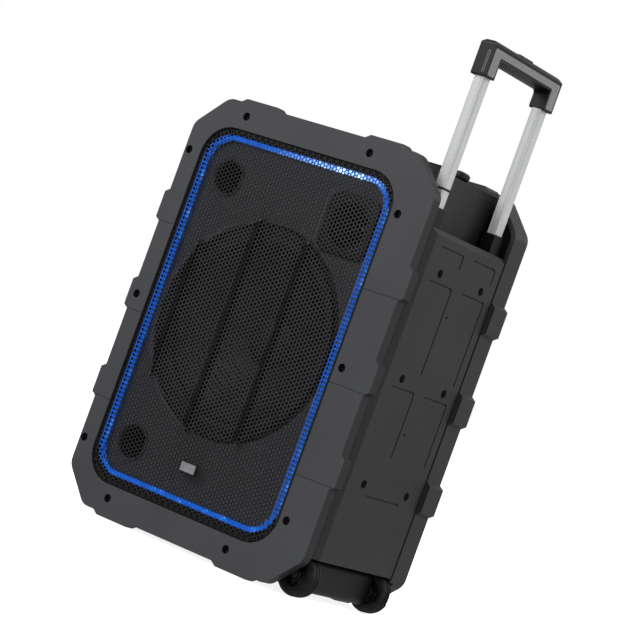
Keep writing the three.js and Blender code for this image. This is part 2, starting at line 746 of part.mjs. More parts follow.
function trolleyTube() {
  const wall = 1.3;
  const outline = tubeSection(0);
  outline.holes.push(centredRect(2 * (TUBE.halfX - wall), 2 * (TUBE.halfY - wall), TUBE.round - wall));
  return prismZ(outline, TUBE.bottom, GRIP.legBottom + 16, 2);
}

function tubeBand() {
  const outline = tubeSection(BAND.outer);
  outline.holes.push(tubeSection(BAND.inner));
  return prismZ(outline, BAND.bottom, BAND.top, 2);
}

// Upside-down U in Y and Z, moved inwards on every side by the margin
function gripOutline(margin, highest = GRIP.top, lowest = GRIP.under) {
  const outer = GRIP.halfY - margin;
  const inner = GRIP.halfY - GRIP.leg + margin;
  const low = GRIP.legBottom + margin;
  const top = highest - margin;
  const under = lowest + margin;
  const r = Math.max(GRIP.round - margin, 2);
  return roundedOutline([
    [-outer, low, 2], [-inner, low, 2], [-inner, under, r], [inner, under, r],
    [inner, low, 2], [outer, low, 2], [outer, top, r], [-outer, top, r],
  ]);
}

function insetOutline(margin) {
  return gripOutline(margin, GRIP.sideTop - INSET_DROP, GRIP.sideUnder);
}

function trolleyGrip() {
  const half = GRIP.width / 2;
  const body = prismX(gripOutline(0), -half, half);
  const recess = prismX(insetOutline(2), half - INSET_DEPTH, half + 1);
  const tools = [recess];
  for (const side of [-1, 1]) {
    const socket = prismZ(tubeSection(GAP), GRIP.legBottom - 1, GRIP.legBottom + 16.4, 2);
    tools.push(socket.translate(0, side * TUBE.spread, 0));
  }
  const slot = centredRect(BUTTON.width + 1, BUTTON.length + 1, 4);
  tools.push(prismZ(slot, GRIP.top - BUTTON.height - 0.8, GRIP.top + 1, 4));
  return cut(body, [...tools, ...gripShoulders(), gripSlope()]);
}

// Wedges that slope the top of the grip down to both sides
function gripShoulders() {
  const half = GRIP.width / 2;
  const ridge = 4.5;
  return [-1, 1].map((side) => prismY(new THREE.Shape([
    new THREE.Vector2(side * ridge, GRIP.top),
    new THREE.Vector2(side * half, GRIP.sideTop),
    new THREE.Vector2(side * (half + 1), GRIP.top + 1),
    new THREE.Vector2(side * ridge, GRIP.top + 1),
  ]), -GRIP.halfY - 1, GRIP.halfY + 1));
}

// Wedge that slopes the bar's underside up to its outer side, between the legs
function gripSlope() {
  const half = GRIP.width / 2;
  const reach = GRIP.halfY - GRIP.leg;
  return prismY(new THREE.Shape([
    new THREE.Vector2(half - 9, GRIP.under),
    new THREE.Vector2(half - 9, GRIP.under - 1),
    new THREE.Vector2(half + 1, GRIP.under - 1),
    new THREE.Vector2(half + 1, GRIP.sideUnder),
    new THREE.Vector2(half, GRIP.sideUnder),
  ]), -reach, reach);
}

function gripInset() {
  const half = GRIP.width / 2;
  return prismX(insetOutline(2 + GAP), half - INSET_DEPTH + GAP, half + 0.4);
}

function releaseButton() {
  const outline = centredRect(BUTTON.width, BUTTON.length, 3.5);
  const top = GRIP.top + BUTTON.proud;
  return prismZ(outline, top - BUTTON.height, top, 4);
}

function buildTrolley() {
  const trolley = group(TUBE.x, TUBE.centreY, 0);
  for (const [name, side] of [['front', -1], ['rear', 1]]) {
    const y = side * TUBE.spread;
    piece(`trolley_sleeve_${name}`, 'black', trolleySleeve(), trolley).position.y = y;
    piece(`trolley_tube_${name}`, 'silver', trolleyTube(), trolley).position.y = y;
  }
  piece('trolley_tube_band', 'black', tubeBand(), trolley).position.y = -TUBE.spread;
  piece('trolley_grip', 'black', trolleyGrip(), trolley);
  piece('grip_inset', 'greyInset', gripInset(), trolley);
  piece('release_button', 'black', releaseButton(), trolley);
}

// ---------------------------------------------------------------- wheels

// Block in the wheel notch that carries the axle between the two wheels
function axleHousing() {
  const left = WHEEL_NOTCH.x + GAP;
  const { right, bottom, top, round } = HOUSING;
  const outline = roundedOutline([[left, bottom], [right, bottom, round], [right, top, round], [left, top]]);
  const block = prismY(outline, HOUSING.front, HOUSING.back, 3);
  const bore = rodY(WHEEL.axle + GAP, HOUSING.front - 1, HOUSING.back + 1).translate(WHEEL.x, 0, WHEEL.z);
  return cut(block, [bore]);
}

function wheelHub() {
  const half = WHEEL.width / 2 - 0.6;
  const bore = WHEEL.axle + 0.1;
  const { hub } = WHEEL;
  return turnedY([
    [bore, -half], [bore + 3, -half], [hub - 3, 2.5 - half], [hub - 1.5, -half], [hub, -half],
    [hub, half], [hub - 1.5, half], [hub - 3, half - 2.5], [bore + 3, half], [bore, half],
  ], 20);
}

function wheelTyre() {
  const half = WHEEL.width / 2;
  const inner = WHEEL.hub + GAP;
  const { radius } = WHEEL;
  return turnedY([
    [inner, -half + 0.6], [radius - 4, -half], [radius - 1.2, 1.6 - half], [radius, 5 - half],
    [radius, half - 5], [radius - 1.2, half - 1.6], [radius - 4, half], [inner, half - 0.6],
  ], 24);
}

function buildWheels() {
  piece('axle_housing', 'black', axleHousing(), speaker);
  const line = group(WHEEL.x, 0, WHEEL.z);
  const reach = WHEEL.width / 2 + 0.3;
  piece('wheel_axle', 'steel', rodY(WHEEL.axle, WHEEL.frontY - reach, WHEEL.rearY + reach), line);
  for (const [name, y] of [['front', WHEEL.frontY], ['rear', WHEEL.rearY]]) {
    piece(`wheel_hub_${name}`, 'black', wheelHub(), line).position.y = y;
    piece(`wheel_tyre_${name}`, 'softRubber', wheelTyre(), line).position.y = y;
  }
}

// ---------------------------------------------------------------- electronics

function batteryPack() {
  const body = box(-75, 75, -32, 32, 0, 88);
  const terminals = [-62, 62].map((x) => box(x - 6, x + 6, -25, -13, 87, 93));
  return join(body, terminals);
}

function amplifierBoard() {
  const board = box(-75, 75, 0, 1.6, -50, 50);
  const parts = [
    box(-66, -46, -22, 0.5, -40, -20), box(-40, -20, -22, 0.5, -40, -20), box(-66, -30, -9, 0.5, 5, 30),
    box(52, 70, -14, 0.5, -42, -10),
  ];
  return join(board, parts);
}

function heatSink() {
  const base = box(-35, 35, -4, 0, -22, 22);
  const fins = [];
  const count = 8;
  for (let i = 0; i < count; i += 1) {
    const x = -34 + i * 9.2;
    fins.push(box(x, x + 2.5, -24, -3, -22, 22));
  }
  return join(base, fins);
}

function powerSupply() {
  const board = box(-35, 35, -28, 28, 0, 1.6);
  const parts = [
    box(-28, 4, -22, 12, 1, 34), box(10, 30, -20, 0, 1, 26), box(12, 28, 6, 22, 1, 18),
  ];
  return join(board, parts);
}

function buildElectronics() {
  const floor = 14.5;
  const board = { x: -18, y: 66, z: 366 };
  piece('battery_pack', 'black', batteryPack(), speaker).position.set(-49, 30, floor);
  piece('power_supply', 'circuit', powerSupply(), speaker).position.set(70, 34, floor);
  piece('amplifier_board', 'circuit', amplifierBoard(), speaker).position.set(board.x, board.y, board.z);
  piece('heat_sink', 'silver', heatSink(), speaker).position.set(board.x + 10, board.y - GAP, board.z + 10);
}

// ---------------------------------------------------------------- rear controls

const KNOB = { radius: 12, height: 10.5, shaft: 3, x: [58, 24], z: 30 };
const KEYS = {
  names: ['mode', 'previous', 'play', 'next'], x: [-68, -46, -24, -2], z: -8, width: 15, height: 9,
};
const SWITCH = { x: 66, z: -34, width: 13, height: 19 };
const INLET = { x: 34, z: -36, width: 24, height: 16 };
const FLAP = { x: -36, z: -37, width: 84, height: 26, thickness: 2.4, pitch: 24 };
const DISPLAY = { x: -35, z: 30, width: 76, height: 30 };

function controlPanel() {
  const { width, height, lap } = PANEL;
  const plate = prismY(centredRect(width + 2 * lap, height + 2 * lap, 14), -3.3, 0, 4);
  const hole = (w, h, x, z) => box(x - w / 2, x + w / 2, -5, 1, z - h / 2, z + h / 2);
  const tools = [
    ...KNOB.x.map((x) => rodY(KNOB.shaft + 0.4, -5, 1, 20).translate(x, 0, KNOB.z)),
    ...KEYS.x.map((x) => hole(KEYS.width + 0.8, KEYS.height + 0.8, x, KEYS.z)),
    hole(SWITCH.width + 0.8, SWITCH.height + 1.2, SWITCH.x, SWITCH.z),
    hole(INLET.width + 0.6, INLET.height + 0.6, INLET.x, INLET.z),
    hole(20, 10, FLAP.x - FLAP.pitch, FLAP.z),
    hole(12, 8, FLAP.x, FLAP.z),
    hole(12, 12, FLAP.x + FLAP.pitch, FLAP.z),
  ];
  return cut(plate, tools);
}

function controlKnob() {
  const { radius, height, shaft } = KNOB;
  return turnedY([
    [0, -7], [shaft, -7], [shaft, GAP], [radius, GAP], [radius, 2], [radius - 1, 3.5],
    [radius - 1.5, height - 1], [radius - 2.5, height], [0, height],
  ], 18);
}

function pushKey() {
  return prismY(centredRect(KEYS.width, KEYS.height, 2.5), -5, 2.2, 3);
}

// Rocker with a shallow V face, turned about a pin that lies along X
function powerRocker() {
  const h = SWITCH.height / 2;
  const outline = roundedOutline([[-7, -h + 3], [1.8, -h + 1], [0.8, 0], [3.2, h - 1], [-7, h - 3]]);
  return prismX(outline, -SWITCH.width / 2, SWITCH.width / 2);
}

function powerInlet() {
  const { width, height } = INLET;
  const body = prismY(centredRect(width, height, 4), -14, 1.2, 3);
  const mouth = prismY(centredRect(width - 7, height - 7, 3.5), -9, 2, 3);
  const pins = [-4, 4].map((x) => rodY(1.1, -9.5, -2, 8).translate(x, 0, 0));
  return join(cut(body, [mouth]), pins);
}

function socketFlap() {
  const { width, height, thickness } = FLAP;
  const plate = prismY(centredRect(width, height, 3), GAP, GAP + thickness, 3);
  const lip = box(-8, 8, GAP + thickness - 0.5, GAP + thickness + 1.4, 2 - height / 2, 5 - height / 2);
  return join(plate, [lip]);
}

function buildControls() {
  const face = REAR_PANEL.front - GAP;
  const controls = group(PANEL.x, face, PANEL.z);
  piece('control_panel', 'black', controlPanel(), controls);
  ['volume_knob', 'microphone_knob'].forEach((name, i) => {
    piece(name, 'rimPlastic', controlKnob(), controls).position.set(KNOB.x[i], 0, KNOB.z);
  });
  KEYS.names.forEach((name, i) => {
    piece(`button_${name}`, 'rimPlastic', pushKey(), controls).position.set(KEYS.x[i], 0, KEYS.z);
  });
  piece('power_switch', 'black', powerRocker(), controls).position.set(SWITCH.x, 0, SWITCH.z);
  piece('power_inlet', 'black', powerInlet(), controls).position.set(INLET.x, 0, INLET.z);
  piece('socket_flap', 'softRubber', socketFlap(), controls).position.set(FLAP.x, 0, FLAP.z);
  const display = prismY(centredRect(DISPLAY.width, DISPLAY.height, 3), GAP, 1.6, 3);
  piece('display_window', 'lens', display, controls).position.set(DISPLAY.x, 0, DISPLAY.z);
}

buildFront();
buildWoofer();
buildCabinet();
buildTrolley();
buildWheels();
buildElectronics();
buildControls();

export default speaker;
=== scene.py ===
import math

import bpy
from mathutils import Matrix, Vector


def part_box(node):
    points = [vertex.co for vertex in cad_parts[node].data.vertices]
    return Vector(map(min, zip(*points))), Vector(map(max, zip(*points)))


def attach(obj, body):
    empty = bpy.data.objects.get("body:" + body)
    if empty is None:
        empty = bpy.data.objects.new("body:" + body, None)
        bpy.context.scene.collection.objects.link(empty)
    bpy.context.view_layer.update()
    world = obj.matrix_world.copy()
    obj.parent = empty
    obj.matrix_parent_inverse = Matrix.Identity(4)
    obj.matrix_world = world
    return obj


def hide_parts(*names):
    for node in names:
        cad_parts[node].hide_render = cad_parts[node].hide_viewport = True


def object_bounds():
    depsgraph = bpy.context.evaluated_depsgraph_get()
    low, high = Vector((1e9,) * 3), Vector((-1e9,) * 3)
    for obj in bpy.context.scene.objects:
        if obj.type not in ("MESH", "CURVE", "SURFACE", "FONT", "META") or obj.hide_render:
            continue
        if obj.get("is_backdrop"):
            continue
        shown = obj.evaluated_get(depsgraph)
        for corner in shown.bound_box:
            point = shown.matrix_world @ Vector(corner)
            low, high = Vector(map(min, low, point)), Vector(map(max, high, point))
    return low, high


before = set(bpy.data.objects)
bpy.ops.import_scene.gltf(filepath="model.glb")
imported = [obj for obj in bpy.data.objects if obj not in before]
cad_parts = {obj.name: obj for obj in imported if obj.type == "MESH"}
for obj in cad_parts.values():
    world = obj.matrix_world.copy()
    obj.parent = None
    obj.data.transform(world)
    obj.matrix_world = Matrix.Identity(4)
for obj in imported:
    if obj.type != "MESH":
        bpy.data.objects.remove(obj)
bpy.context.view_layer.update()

bl_info = {
    "name": "Party Speaker Finish",
    "version": (1, 0, 0),
    "blender": (4, 5, 0),
    "location": "View3D > Sidebar > Speaker",
    "description": "Builds the visible pieces and finishes of a wheeled party speaker around its CAD model",
    "category": "Object",
}

MM = 0.001
RING_BAND = 6.3 * MM            # width of the light ring's band
RING_ROUND = 31 * MM            # rounding of its middle line
FRONT = Vector((0, -1, 0))
BACK = Vector((0, 1, 0))
RIGHT = Vector((1, 0, 0))


def tint(code):
    """A screen colour such as 4b4c50 as linear red, green and blue."""
    levels = [int(code[i:i + 2], 16) / 255 for i in (0, 2, 4)]
    return tuple(c / 12.92 if c <= 0.04045 else ((c + 0.055) / 1.055) ** 2.4 for c in levels)


# ---------------------------------------------------------------- sizes, colours and stage settings


def length(name, description, millimetres):
    return bpy.props.FloatProperty(
        name=name, description=description, default=millimetres * MM, min=0.0, unit="LENGTH", precision=5)


def colour(name, description, code):
    return bpy.props.FloatVectorProperty(
        name=name, description=description, default=tint(code), subtype="COLOR", size=3, min=0.0, max=1.0)


class SpeakerSizes(bpy.types.PropertyGroup):
    """Sizes that the visible pieces add to the CAD model."""

    frame_edge: length("Front frame edge", "Rounding along the front frame's moulded edges", 0.9)
    rear_edge: length("Rear frame edge", "Rounding along the rear frame's outer edges", 2.2)
    cover_edge: length("Cover edge", "Rounding along the side cover's and the handle well's edges", 0.6)
    hole_pitch: length("Hole pitch", "Height between two grille holes of one column", 4.82)
    hole_width: length("Hole width", "Width of a grille hole across its flats", 3.65)
    hem_width: length("Hem width", "Width of the grille's folded edge", 3.0)
    cone_rib: length("Cone rib", "Distance between the woofer cone's pressed rings", 5.2)
    tube_bead: length("Tube bead", "Radius of the bead along each corner of the trolley tubes", 1.3)
    handle_rib: length("Handle rib", "Distance between the ribs of the carry handle", 3.2)
    screw_head: length("Screw head", "Radius of the front and rear screw heads", 3.9)
    knob_flutes: bpy.props.IntProperty(
        name="Knob flutes", description="Number of grooves around each knob", default=24, min=8, max=48)


class SpeakerColours(bpy.types.PropertyGroup):
    """Colours of the finishes."""

    slate: colour("Slate plastic", "Face of the front frame", "4a4b4f")
    # painted shade: the sides of the front frame take this darker colour because they face away from the
    # light
    slate_shaded_side: colour("Slate side", "Sides of the front frame", "2b2c2e")
    dark: colour("Dark plastic", "Cabinet and side cover", "363738")
    rim: colour("Rim plastic", "Rear frame", "3a3a3c")
    baffle: colour("Baffle plastic", "Board behind the grille", "66676c")
    black: colour("Black plastic", "Grip, buttons, hubs and sockets", "0d0d0e")
    grille: colour("Grille paint", "Powder coat of the grille", "1c1c1e")
    # painted highlight: the grille is painted lighter where it stands over the woofer and the horn
    grille_painted_highlight: colour("Bright grille paint", "Grille where it stands over the dark drivers", "313134")
    light: colour("Ring light", "Colour of the lit ring", "005ac6")
    paper: colour("Cone paper", "Woofer cone and dust cap", "1a1a1c")
    rubber: colour("Rubber", "Surround, seals and flap", "121213")
    tyre: colour("Tyre rubber", "Wheels", "161617")
    aluminium: colour("Aluminium", "Trolley tubes", "eeeff0")
    inset: colour("Grip inset", "Soft inset of the trolley grip", "9a9a9c")
    badge: colour("Badge", "Blank badge plate", "b9bbbf")


class SpeakerStage(bpy.types.PropertyGroup):
    """Floor, lights and camera."""

    floor_half: bpy.props.FloatProperty(
        name="Floor half side", description="Half the side of the pale floor", default=40.0, unit="LENGTH")
    key_power: bpy.props.FloatProperty(
        name="Key light", description="Power of the large soft light, front left", default=37.0, unit="POWER")
    side_power: bpy.props.FloatProperty(
        name="Side light", description="Power of the soft light on the right", default=9.0, unit="POWER")
    top_power: bpy.props.FloatProperty(
        name="Top light", description="Power of the soft light overhead", default=10.0, unit="POWER")
    rear_power: bpy.props.FloatProperty(
        name="Rear light", description="Power of the soft light behind", default=25.0, unit="POWER")
    ambient: bpy.props.FloatProperty(
        name="Room light", description="Strength of the even light from all around", default=0.4, min=0.0)
    lens: bpy.props.FloatProperty(
        name="Lens", description="Focal length of the camera, in mm on a 36 mm sensor",
        default=143.3, min=1.0)
    heading: bpy.props.FloatProperty(
        name="Heading", description="Camera's turn about the vertical, from looking along +Y",
        default=math.radians(36.17), subtype="ANGLE")
    rise: bpy.props.FloatProperty(
        name="Rise", description="How far the camera looks above the horizon",
        default=math.radians(0.845), subtype="ANGLE")
    roll: bpy.props.FloatProperty(
        name="Roll", description="Camera's tilt about its own line of sight",
        default=math.radians(19.98), subtype="ANGLE")
    place: bpy.props.FloatVectorProperty(
        name="Camera place", description="Where the camera stands", default=(1.6444, -2.2319, 0.2393),
        subtype="TRANSLATION", size=3)


# ---------------------------------------------------------------- modelling helpers


def leave_all():
    """Leaves edit mode and deselects everything."""
    if bpy.context.object is not None and bpy.context.object.mode != "OBJECT":
        bpy.ops.object.mode_set(mode="OBJECT")
    bpy.ops.object.select_all(action="DESELECT")


def hold(piece):
    """Makes the piece the only selected object."""
    leave_all()
    piece.select_set(True)
    bpy.context.view_layer.objects.active = piece
    return piece


def named(name):
    """The object that an operator has just added, under its own name."""
    piece = bpy.context.object
    piece.name = name
    piece.data.name = name
    return piece


def edit_all(piece, kind="FACE"):
    """Goes into edit mode with every vertex, edge or face selected."""
    hold(piece)
    bpy.ops.object.mode_set(mode="EDIT")
    bpy.ops.mesh.select_mode(type=kind)
    bpy.ops.mesh.select_all(action="SELECT")


def edit_faces(piece, wanted):
    """Goes into edit mode with only the faces selected whose centre and normal pass the test."""
    edit_all(piece)
    bpy.ops.mesh.select_all(action="DESELECT")
    bpy.ops.object.mode_set(mode="OBJECT")
    for face in piece.data.polygons:
        face.select = wanted(face.center, face.normal)
    bpy.ops.object.mode_set(mode="EDIT")


def move_selected(offset):
    bpy.ops.transform.translate(value=offset)


def push(offset):
    """Extrudes the selected faces by an offset."""
    bpy.ops.mesh.extrude_region_move(TRANSFORM_OT_translate={"value": offset})


def apply_modifiers(piece):
    hold(piece)
    for modifier in list(piece.modifiers):
        bpy.ops.object.modifier_apply(modifier=modifier.name)
    return piece


def mended(piece):
    """Merges doubles and points every face outwards."""
    edit_all(piece, "VERT")
    bpy.ops.mesh.remove_doubles(threshold=0.002 * MM)
    bpy.ops.mesh.normals_make_consistent(inside=False)
    leave_all()
    return piece


def smoothed(piece, degrees=35):
    hold(piece)
    bpy.ops.object.shade_smooth_by_angle(angle=math.radians(degrees))
    return piece


def evened(piece):
    """Keeps large flat faces flat where they meet rounded edges."""
    even = piece.modifiers.new("even", "WEIGHTED_NORMAL")
    even.weight = 80
    even.keep_sharp = True
    return apply_modifiers(piece)


def softened(piece, width, segments=2, degrees=32):
    """Rounds the edges that are sharper than the angle."""
    bevel = piece.modifiers.new("edge", "BEVEL")
    bevel.width = width
    bevel.segments = segments
    bevel.limit_method = "ANGLE"
    bevel.angle_limit = math.radians(degrees)
    bevel.use_clamp_overlap = True
    apply_modifiers(piece)
    return evened(smoothed(piece, degrees + 5))


def copied(node, name):
    """A merged copy of a CAD node's mesh, as a piece of its own with clean flat faces."""
    piece = bpy.data.objects.new(name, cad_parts[node].data.copy())
    piece.data.name = name
    piece.data.materials.clear()
    bpy.context.scene.collection.objects.link(piece)
    hold(piece)
    bpy.ops.mesh.customdata_custom_splitnormals_clear()
    edit_all(piece, "VERT")
    bpy.ops.mesh.remove_doubles(threshold=0.002 * MM)
    bpy.ops.mesh.dissolve_limited(angle_limit=math.radians(0.4))
    leave_all()
    return piece


def drawn(name, points, closed=False):
    """A chain of edges through the points, drawn by extruding one vertex."""
    leave_all()
    bpy.ops.mesh.primitive_plane_add(size=MM, location=points[0])
    piece = named(name)
    edit_all(piece, "VERT")
    bpy.ops.mesh.merge(type="CENTER")
    for here, there in zip(points, points[1:]):
        offset = Vector(there) - Vector(here)
        bpy.ops.mesh.extrude_vertices_move(TRANSFORM_OT_translate={"value": offset})
    if closed:
        bpy.ops.mesh.select_all(action="DESELECT")
        bpy.ops.object.mode_set(mode="OBJECT")
        piece.data.vertices[0].select = True
        piece.data.vertices[len(points) - 1].select = True
        bpy.ops.object.mode_set(mode="EDIT")
        bpy.ops.mesh.edge_face_add()
    return piece


def turned(name, profile, centre, steps=72, closed=True):
    """A body turned about an axis along Y through the centre; the profile holds (radius, y) points."""
    points = [(centre[0] + radius, y, centre[2]) for radius, y in profile]
    piece = drawn(name, points, closed)
    bpy.ops.mesh.select_all(action="SELECT")
    axis_point = (centre[0], 0, centre[2])
    bpy.ops.mesh.spin(steps=steps, angle=2 * math.pi, center=axis_point, axis=BACK)
    return mended(piece)


def prism(name, outline, along):
    """A solid with the given outline, extruded along a vector."""
    piece = drawn(name, outline)
    bpy.ops.mesh.select_all(action="SELECT")
    bpy.ops.mesh.edge_face_add()
    push(along)
    return mended(piece)


def block(name, low, high):
    """A box between two corners, as the start of a shaped piece."""
    leave_all()
    low = Vector(low)
    high = Vector(high)
    bpy.ops.mesh.primitive_cube_add(size=1, location=(low + high) / 2, scale=high - low)
    piece = named(name)
    bpy.ops.object.transform_apply(location=True, rotation=True, scale=True)
    return piece


def rod(name, start, end, radius, sides=32):
    """A cylinder between two points, as the start of a shaped piece."""
    leave_all()
    start = Vector(start)
    line = Vector(end) - start
    turn = line.to_track_quat("Z", "Y").to_euler()
    bpy.ops.mesh.primitive_cylinder_add(
        vertices=sides, radius=radius, depth=line.length, location=start + line / 2, rotation=turn)
    piece = named(name)
    bpy.ops.object.transform_apply(location=True, rotation=True, scale=True)
    return piece


def carved(piece, cutters, operation="DIFFERENCE"):
    """Cuts the cutters out of the piece, or joins them to it, and removes them."""
    for cutter in cutters:
        boolean = piece.modifiers.new("cut", "BOOLEAN")
        boolean.operation = operation
        boolean.object = cutter
        boolean.solver = "EXACT"
        apply_modifiers(piece)
        bpy.data.objects.remove(cutter)
    return piece


def duplicate(piece, name, turn=None):
    """A copy with its own mesh, turned by a matrix."""
    hold(piece)
    bpy.ops.object.duplicate(linked=False)
    copy = named(name)
    if turn is not None:
        copy.matrix_world = turn @ copy.matrix_world
        bpy.ops.object.transform_apply(location=True, rotation=True, scale=True)
    return copy


def joined(pieces, name):
    leave_all()
    for piece in pieces:
        piece.select_set(True)
    bpy.context.view_layer.objects.active = pieces[0]
    bpy.ops.object.join()
    return named(name)


def rounded_rectangle(low, high, radius, steps=8):
    """Points around a rectangle with round corners, as (across, up) pairs."""
    corners = [
        (high[0] - radius, high[1] - radius, 0), (low[0] + radius, high[1] - radius, 90),
        (low[0] + radius, low[1] + radius, 180), (high[0] - radius, low[1] + radius, 270),
    ]
    points = []
    for across, up, first in corners:
        for i in range(steps + 1):
            angle = math.radians(first + 90 * i / steps)
            points.append((across + radius * math.cos(angle), up + radius * math.sin(angle)))
    return points


def finished(piece, body, look, slot, *nodes):
    """Gives a piece its finish in a material slot, its CAD body and the CAD nodes it stands for; the slot
    argument is not used.
    """
    hold(piece)
    bpy.ops.object.transform_apply(location=True, rotation=True, scale=True)
    piece.data.materials.clear()
    piece.data.materials.append(look)
    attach(piece, body)
    if nodes:
        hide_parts(*nodes)
    return piece


def coated(node, look):
    """Gives a CAD node that stays in view its finish."""
    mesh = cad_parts[node].data
    mesh.materials.clear()
    mesh.materials.append(look)


# ---------------------------------------------------------------- finishes


class Finish:
    """Builds a procedural material node by node."""

    def __init__(self, name):
        self.material = bpy.data.materials.new(name)
        self.material.use_nodes = True
        self.tree = self.material.node_tree
        self.shader = self.tree.nodes["Principled BSDF"]
        self.place = self.add("ShaderNodeTexCoord").outputs["Object"]

    def put(self, socket, value):
        if isinstance(value, bpy.types.NodeSocket):
            self.tree.links.new(value, socket)
        else:
            socket.default_value = value

    def add(self, kind, inputs=None, **settings):
        node = self.tree.nodes.new(kind)
        for setting, value in settings.items():
            setattr(node, setting, value)
        for name, value in (inputs or {}).items():
            self.put(node.inputs[name], value)
        return node

    def surface(self, **values):
        """Sets the shader's own sockets; an underscore stands for a space."""
        for name, value in values.items():
            self.put(self.shader.inputs[name.replace("_", " ")], value)

    def stretched(self, scale):
        """Object coordinates stretched by a scale along each axis."""
        return self.add("ShaderNodeMapping", {"Vector": self.place, "Scale": scale}).outputs["Vector"]

    def noise(self, scale, detail=3.0, roughness=0.55, place=None):
        sockets = {"Vector": place or self.place, "Scale": scale, "Detail": detail, "Roughness": roughness}
        return self.add("ShaderNodeTexNoise", sockets).outputs["Fac"]

    def ranged(self, value, low, high, to_low=0.0, to_high=1.0):
        sockets = {"Value": value, "From Min": low, "From Max": high, "To Min": to_low, "To Max": to_high}
        return self.add("ShaderNodeMapRange", sockets).outputs["Result"]

    def math(self, operation, first, second=0.0):
        node = self.add("ShaderNodeMath", operation=operation)
        self.put(node.inputs[0], first)
        self.put(node.inputs[1], second)
        return node.outputs[0]

    def mixed(self, factor, first, second):
        """A colour between two colours."""
        node = self.add("ShaderNodeMix", data_type="RGBA")
        self.put(node.inputs[0], factor)
        self.put(node.inputs[6], first)
        self.put(node.inputs[7], second)
        return node.outputs[2]

    def axis(self, name):
        """One of the object coordinates X, Y or Z, in metres."""
        return self.add("ShaderNodeSeparateXYZ", {"Vector": self.place}).outputs[name]

    def facing(self, name):
        """The X, Y or Z part of the surface's direction."""
        normal = self.add("ShaderNodeTexCoord").outputs["Normal"]
        return self.add("ShaderNodeSeparateXYZ", {"Vector": normal}).outputs[name]

    def off_centre(self, name, centre, half=0.0):
        """Distance along one axis from the nearer end of a stretch around a centre."""
        apart = self.math("ABSOLUTE", self.math("SUBTRACT", self.axis(name), centre))
        return self.math("SUBTRACT", apart, half)

    def length_of(self, first, second):
        """Length of a flat vector with two parts."""
        squares = self.math("ADD", self.math("POWER", first, 2.0), self.math("POWER", second, 2.0))
        return self.math("SQRT", squares)

    def from_ring(self, centre, half_x, half_z, radius):
        """Distance from a line that follows a rectangle with round corners in X and Z."""
        over = self.off_centre("X", centre.x, half_x - radius)
        above = self.off_centre("Z", centre.z, half_z - radius)
        corner = self.length_of(self.math("MAXIMUM", over, 0.0), self.math("MAXIMUM", above, 0.0))
        inside = self.math("MINIMUM", self.math("MAXIMUM", over, above), 0.0)
        return self.math("ABSOLUTE", self.math("SUBTRACT", self.math("ADD", corner, inside), radius))

    def relief(self, height, depth, strength=1.0):
        """A surface normal with the given height field pressed into it, depth in metres."""
        sockets = {"Height": height, "Distance": depth, "Strength": strength}
        return self.add("ShaderNodeBump", sockets).outputs["Normal"]

    def worn_edge(self, radius):
        """One along convex and hollow edges within the radius, and none on flat faces."""
        rounded = self.add("ShaderNodeBevel", {"Radius": radius}, samples=6).outputs["Normal"]
        true = self.add("ShaderNodeNewGeometry").outputs["Normal"]
        dot = self.add("ShaderNodeVectorMath", operation="DOT_PRODUCT")
        self.put(dot.inputs[0], rounded)
        self.put(dot.inputs[1], true)
        return self.ranged(dot.outputs["Value"], 0.995, 0.8)


def scaled(rgb, factor):
    """A colour made lighter or darker, with full opacity."""
    return tuple(min(1.0, c * factor) for c in rgb) + (1.0,)


def moulded_plastic(name, rgb, roughness=0.5, grain=0.9, relief=0.035, wear=0.35, specular=0.4,
                    shaded_side_rgb=None, painted_shade_fade=None, painted_shade_disc=None):
    """Injection-moulded plastic: fine spark texture, faint flow clouds and rubbed edges.

    Faces turned away from the front take a darker side colour as painted shade for the less lit sides; a
    stretch (axis, start, end) is painted shade that darkens the plastic from one place along an axis to
    another, and a disc (centre, radius) is painted shade inside it.
    """
    finish = Finish(name)
    cloud = finish.noise(9.0, 4.0)
    grain_height = finish.noise(1.0 / (grain * MM), 2.0, 0.6)
    scuffs = finish.noise(160.0, 6.0, 0.75, finish.stretched((1.0, 1.0, 0.18)))
    body = finish.mixed(finish.ranged(cloud, 0.3, 0.7), scaled(rgb, 0.88), scaled(rgb, 1.1))
    speckled = finish.mixed(finish.ranged(grain_height, 0.55, 0.8, 0.0, 0.35), body, scaled(rgb, 1.5))
    rubbed = finish.math("MULTIPLY", finish.worn_edge(1.4 * MM), finish.ranged(scuffs, 0.35, 0.65, 0.25, 1.0))
    edge = finish.math("MULTIPLY", rubbed, wear)
    paint = finish.mixed(edge, speckled, scaled(rgb, 2.1))
    # painted shade: faces turned away from the front take the darker side colour
    if shaded_side_rgb is not None:
        side = finish.mixed(finish.ranged(cloud, 0.3, 0.7), scaled(shaded_side_rgb, 0.88), scaled(shaded_side_rgb, 1.1))
        paint = finish.mixed(finish.ranged(finish.facing("Y"), -0.97, -0.8), paint, side)
    # painted shade: the colour darkens from one place to another along an axis
    if painted_shade_fade is not None:
        axis, start, end = painted_shade_fade
        paint = finish.mixed(finish.ranged(finish.axis(axis), start, end), paint, scaled(rgb, 0.08))
    # painted shade: a near-black disc
    if painted_shade_disc is not None:
        centre, radius = painted_shade_disc
        away = finish.length_of(finish.off_centre("X", centre.x), finish.off_centre("Z", centre.z))
        paint = finish.mixed(finish.ranged(away, radius, radius - 0.5 * MM), paint, scaled(rgb, 0.05))
    finish.surface(
        Base_Color=paint,
        Roughness=finish.ranged(scuffs, 0.3, 0.75, roughness - 0.07, roughness + 0.09),
        Normal=finish.relief(grain_height, relief * MM),
        Specular_IOR_Level=specular,
    )
    return finish.material


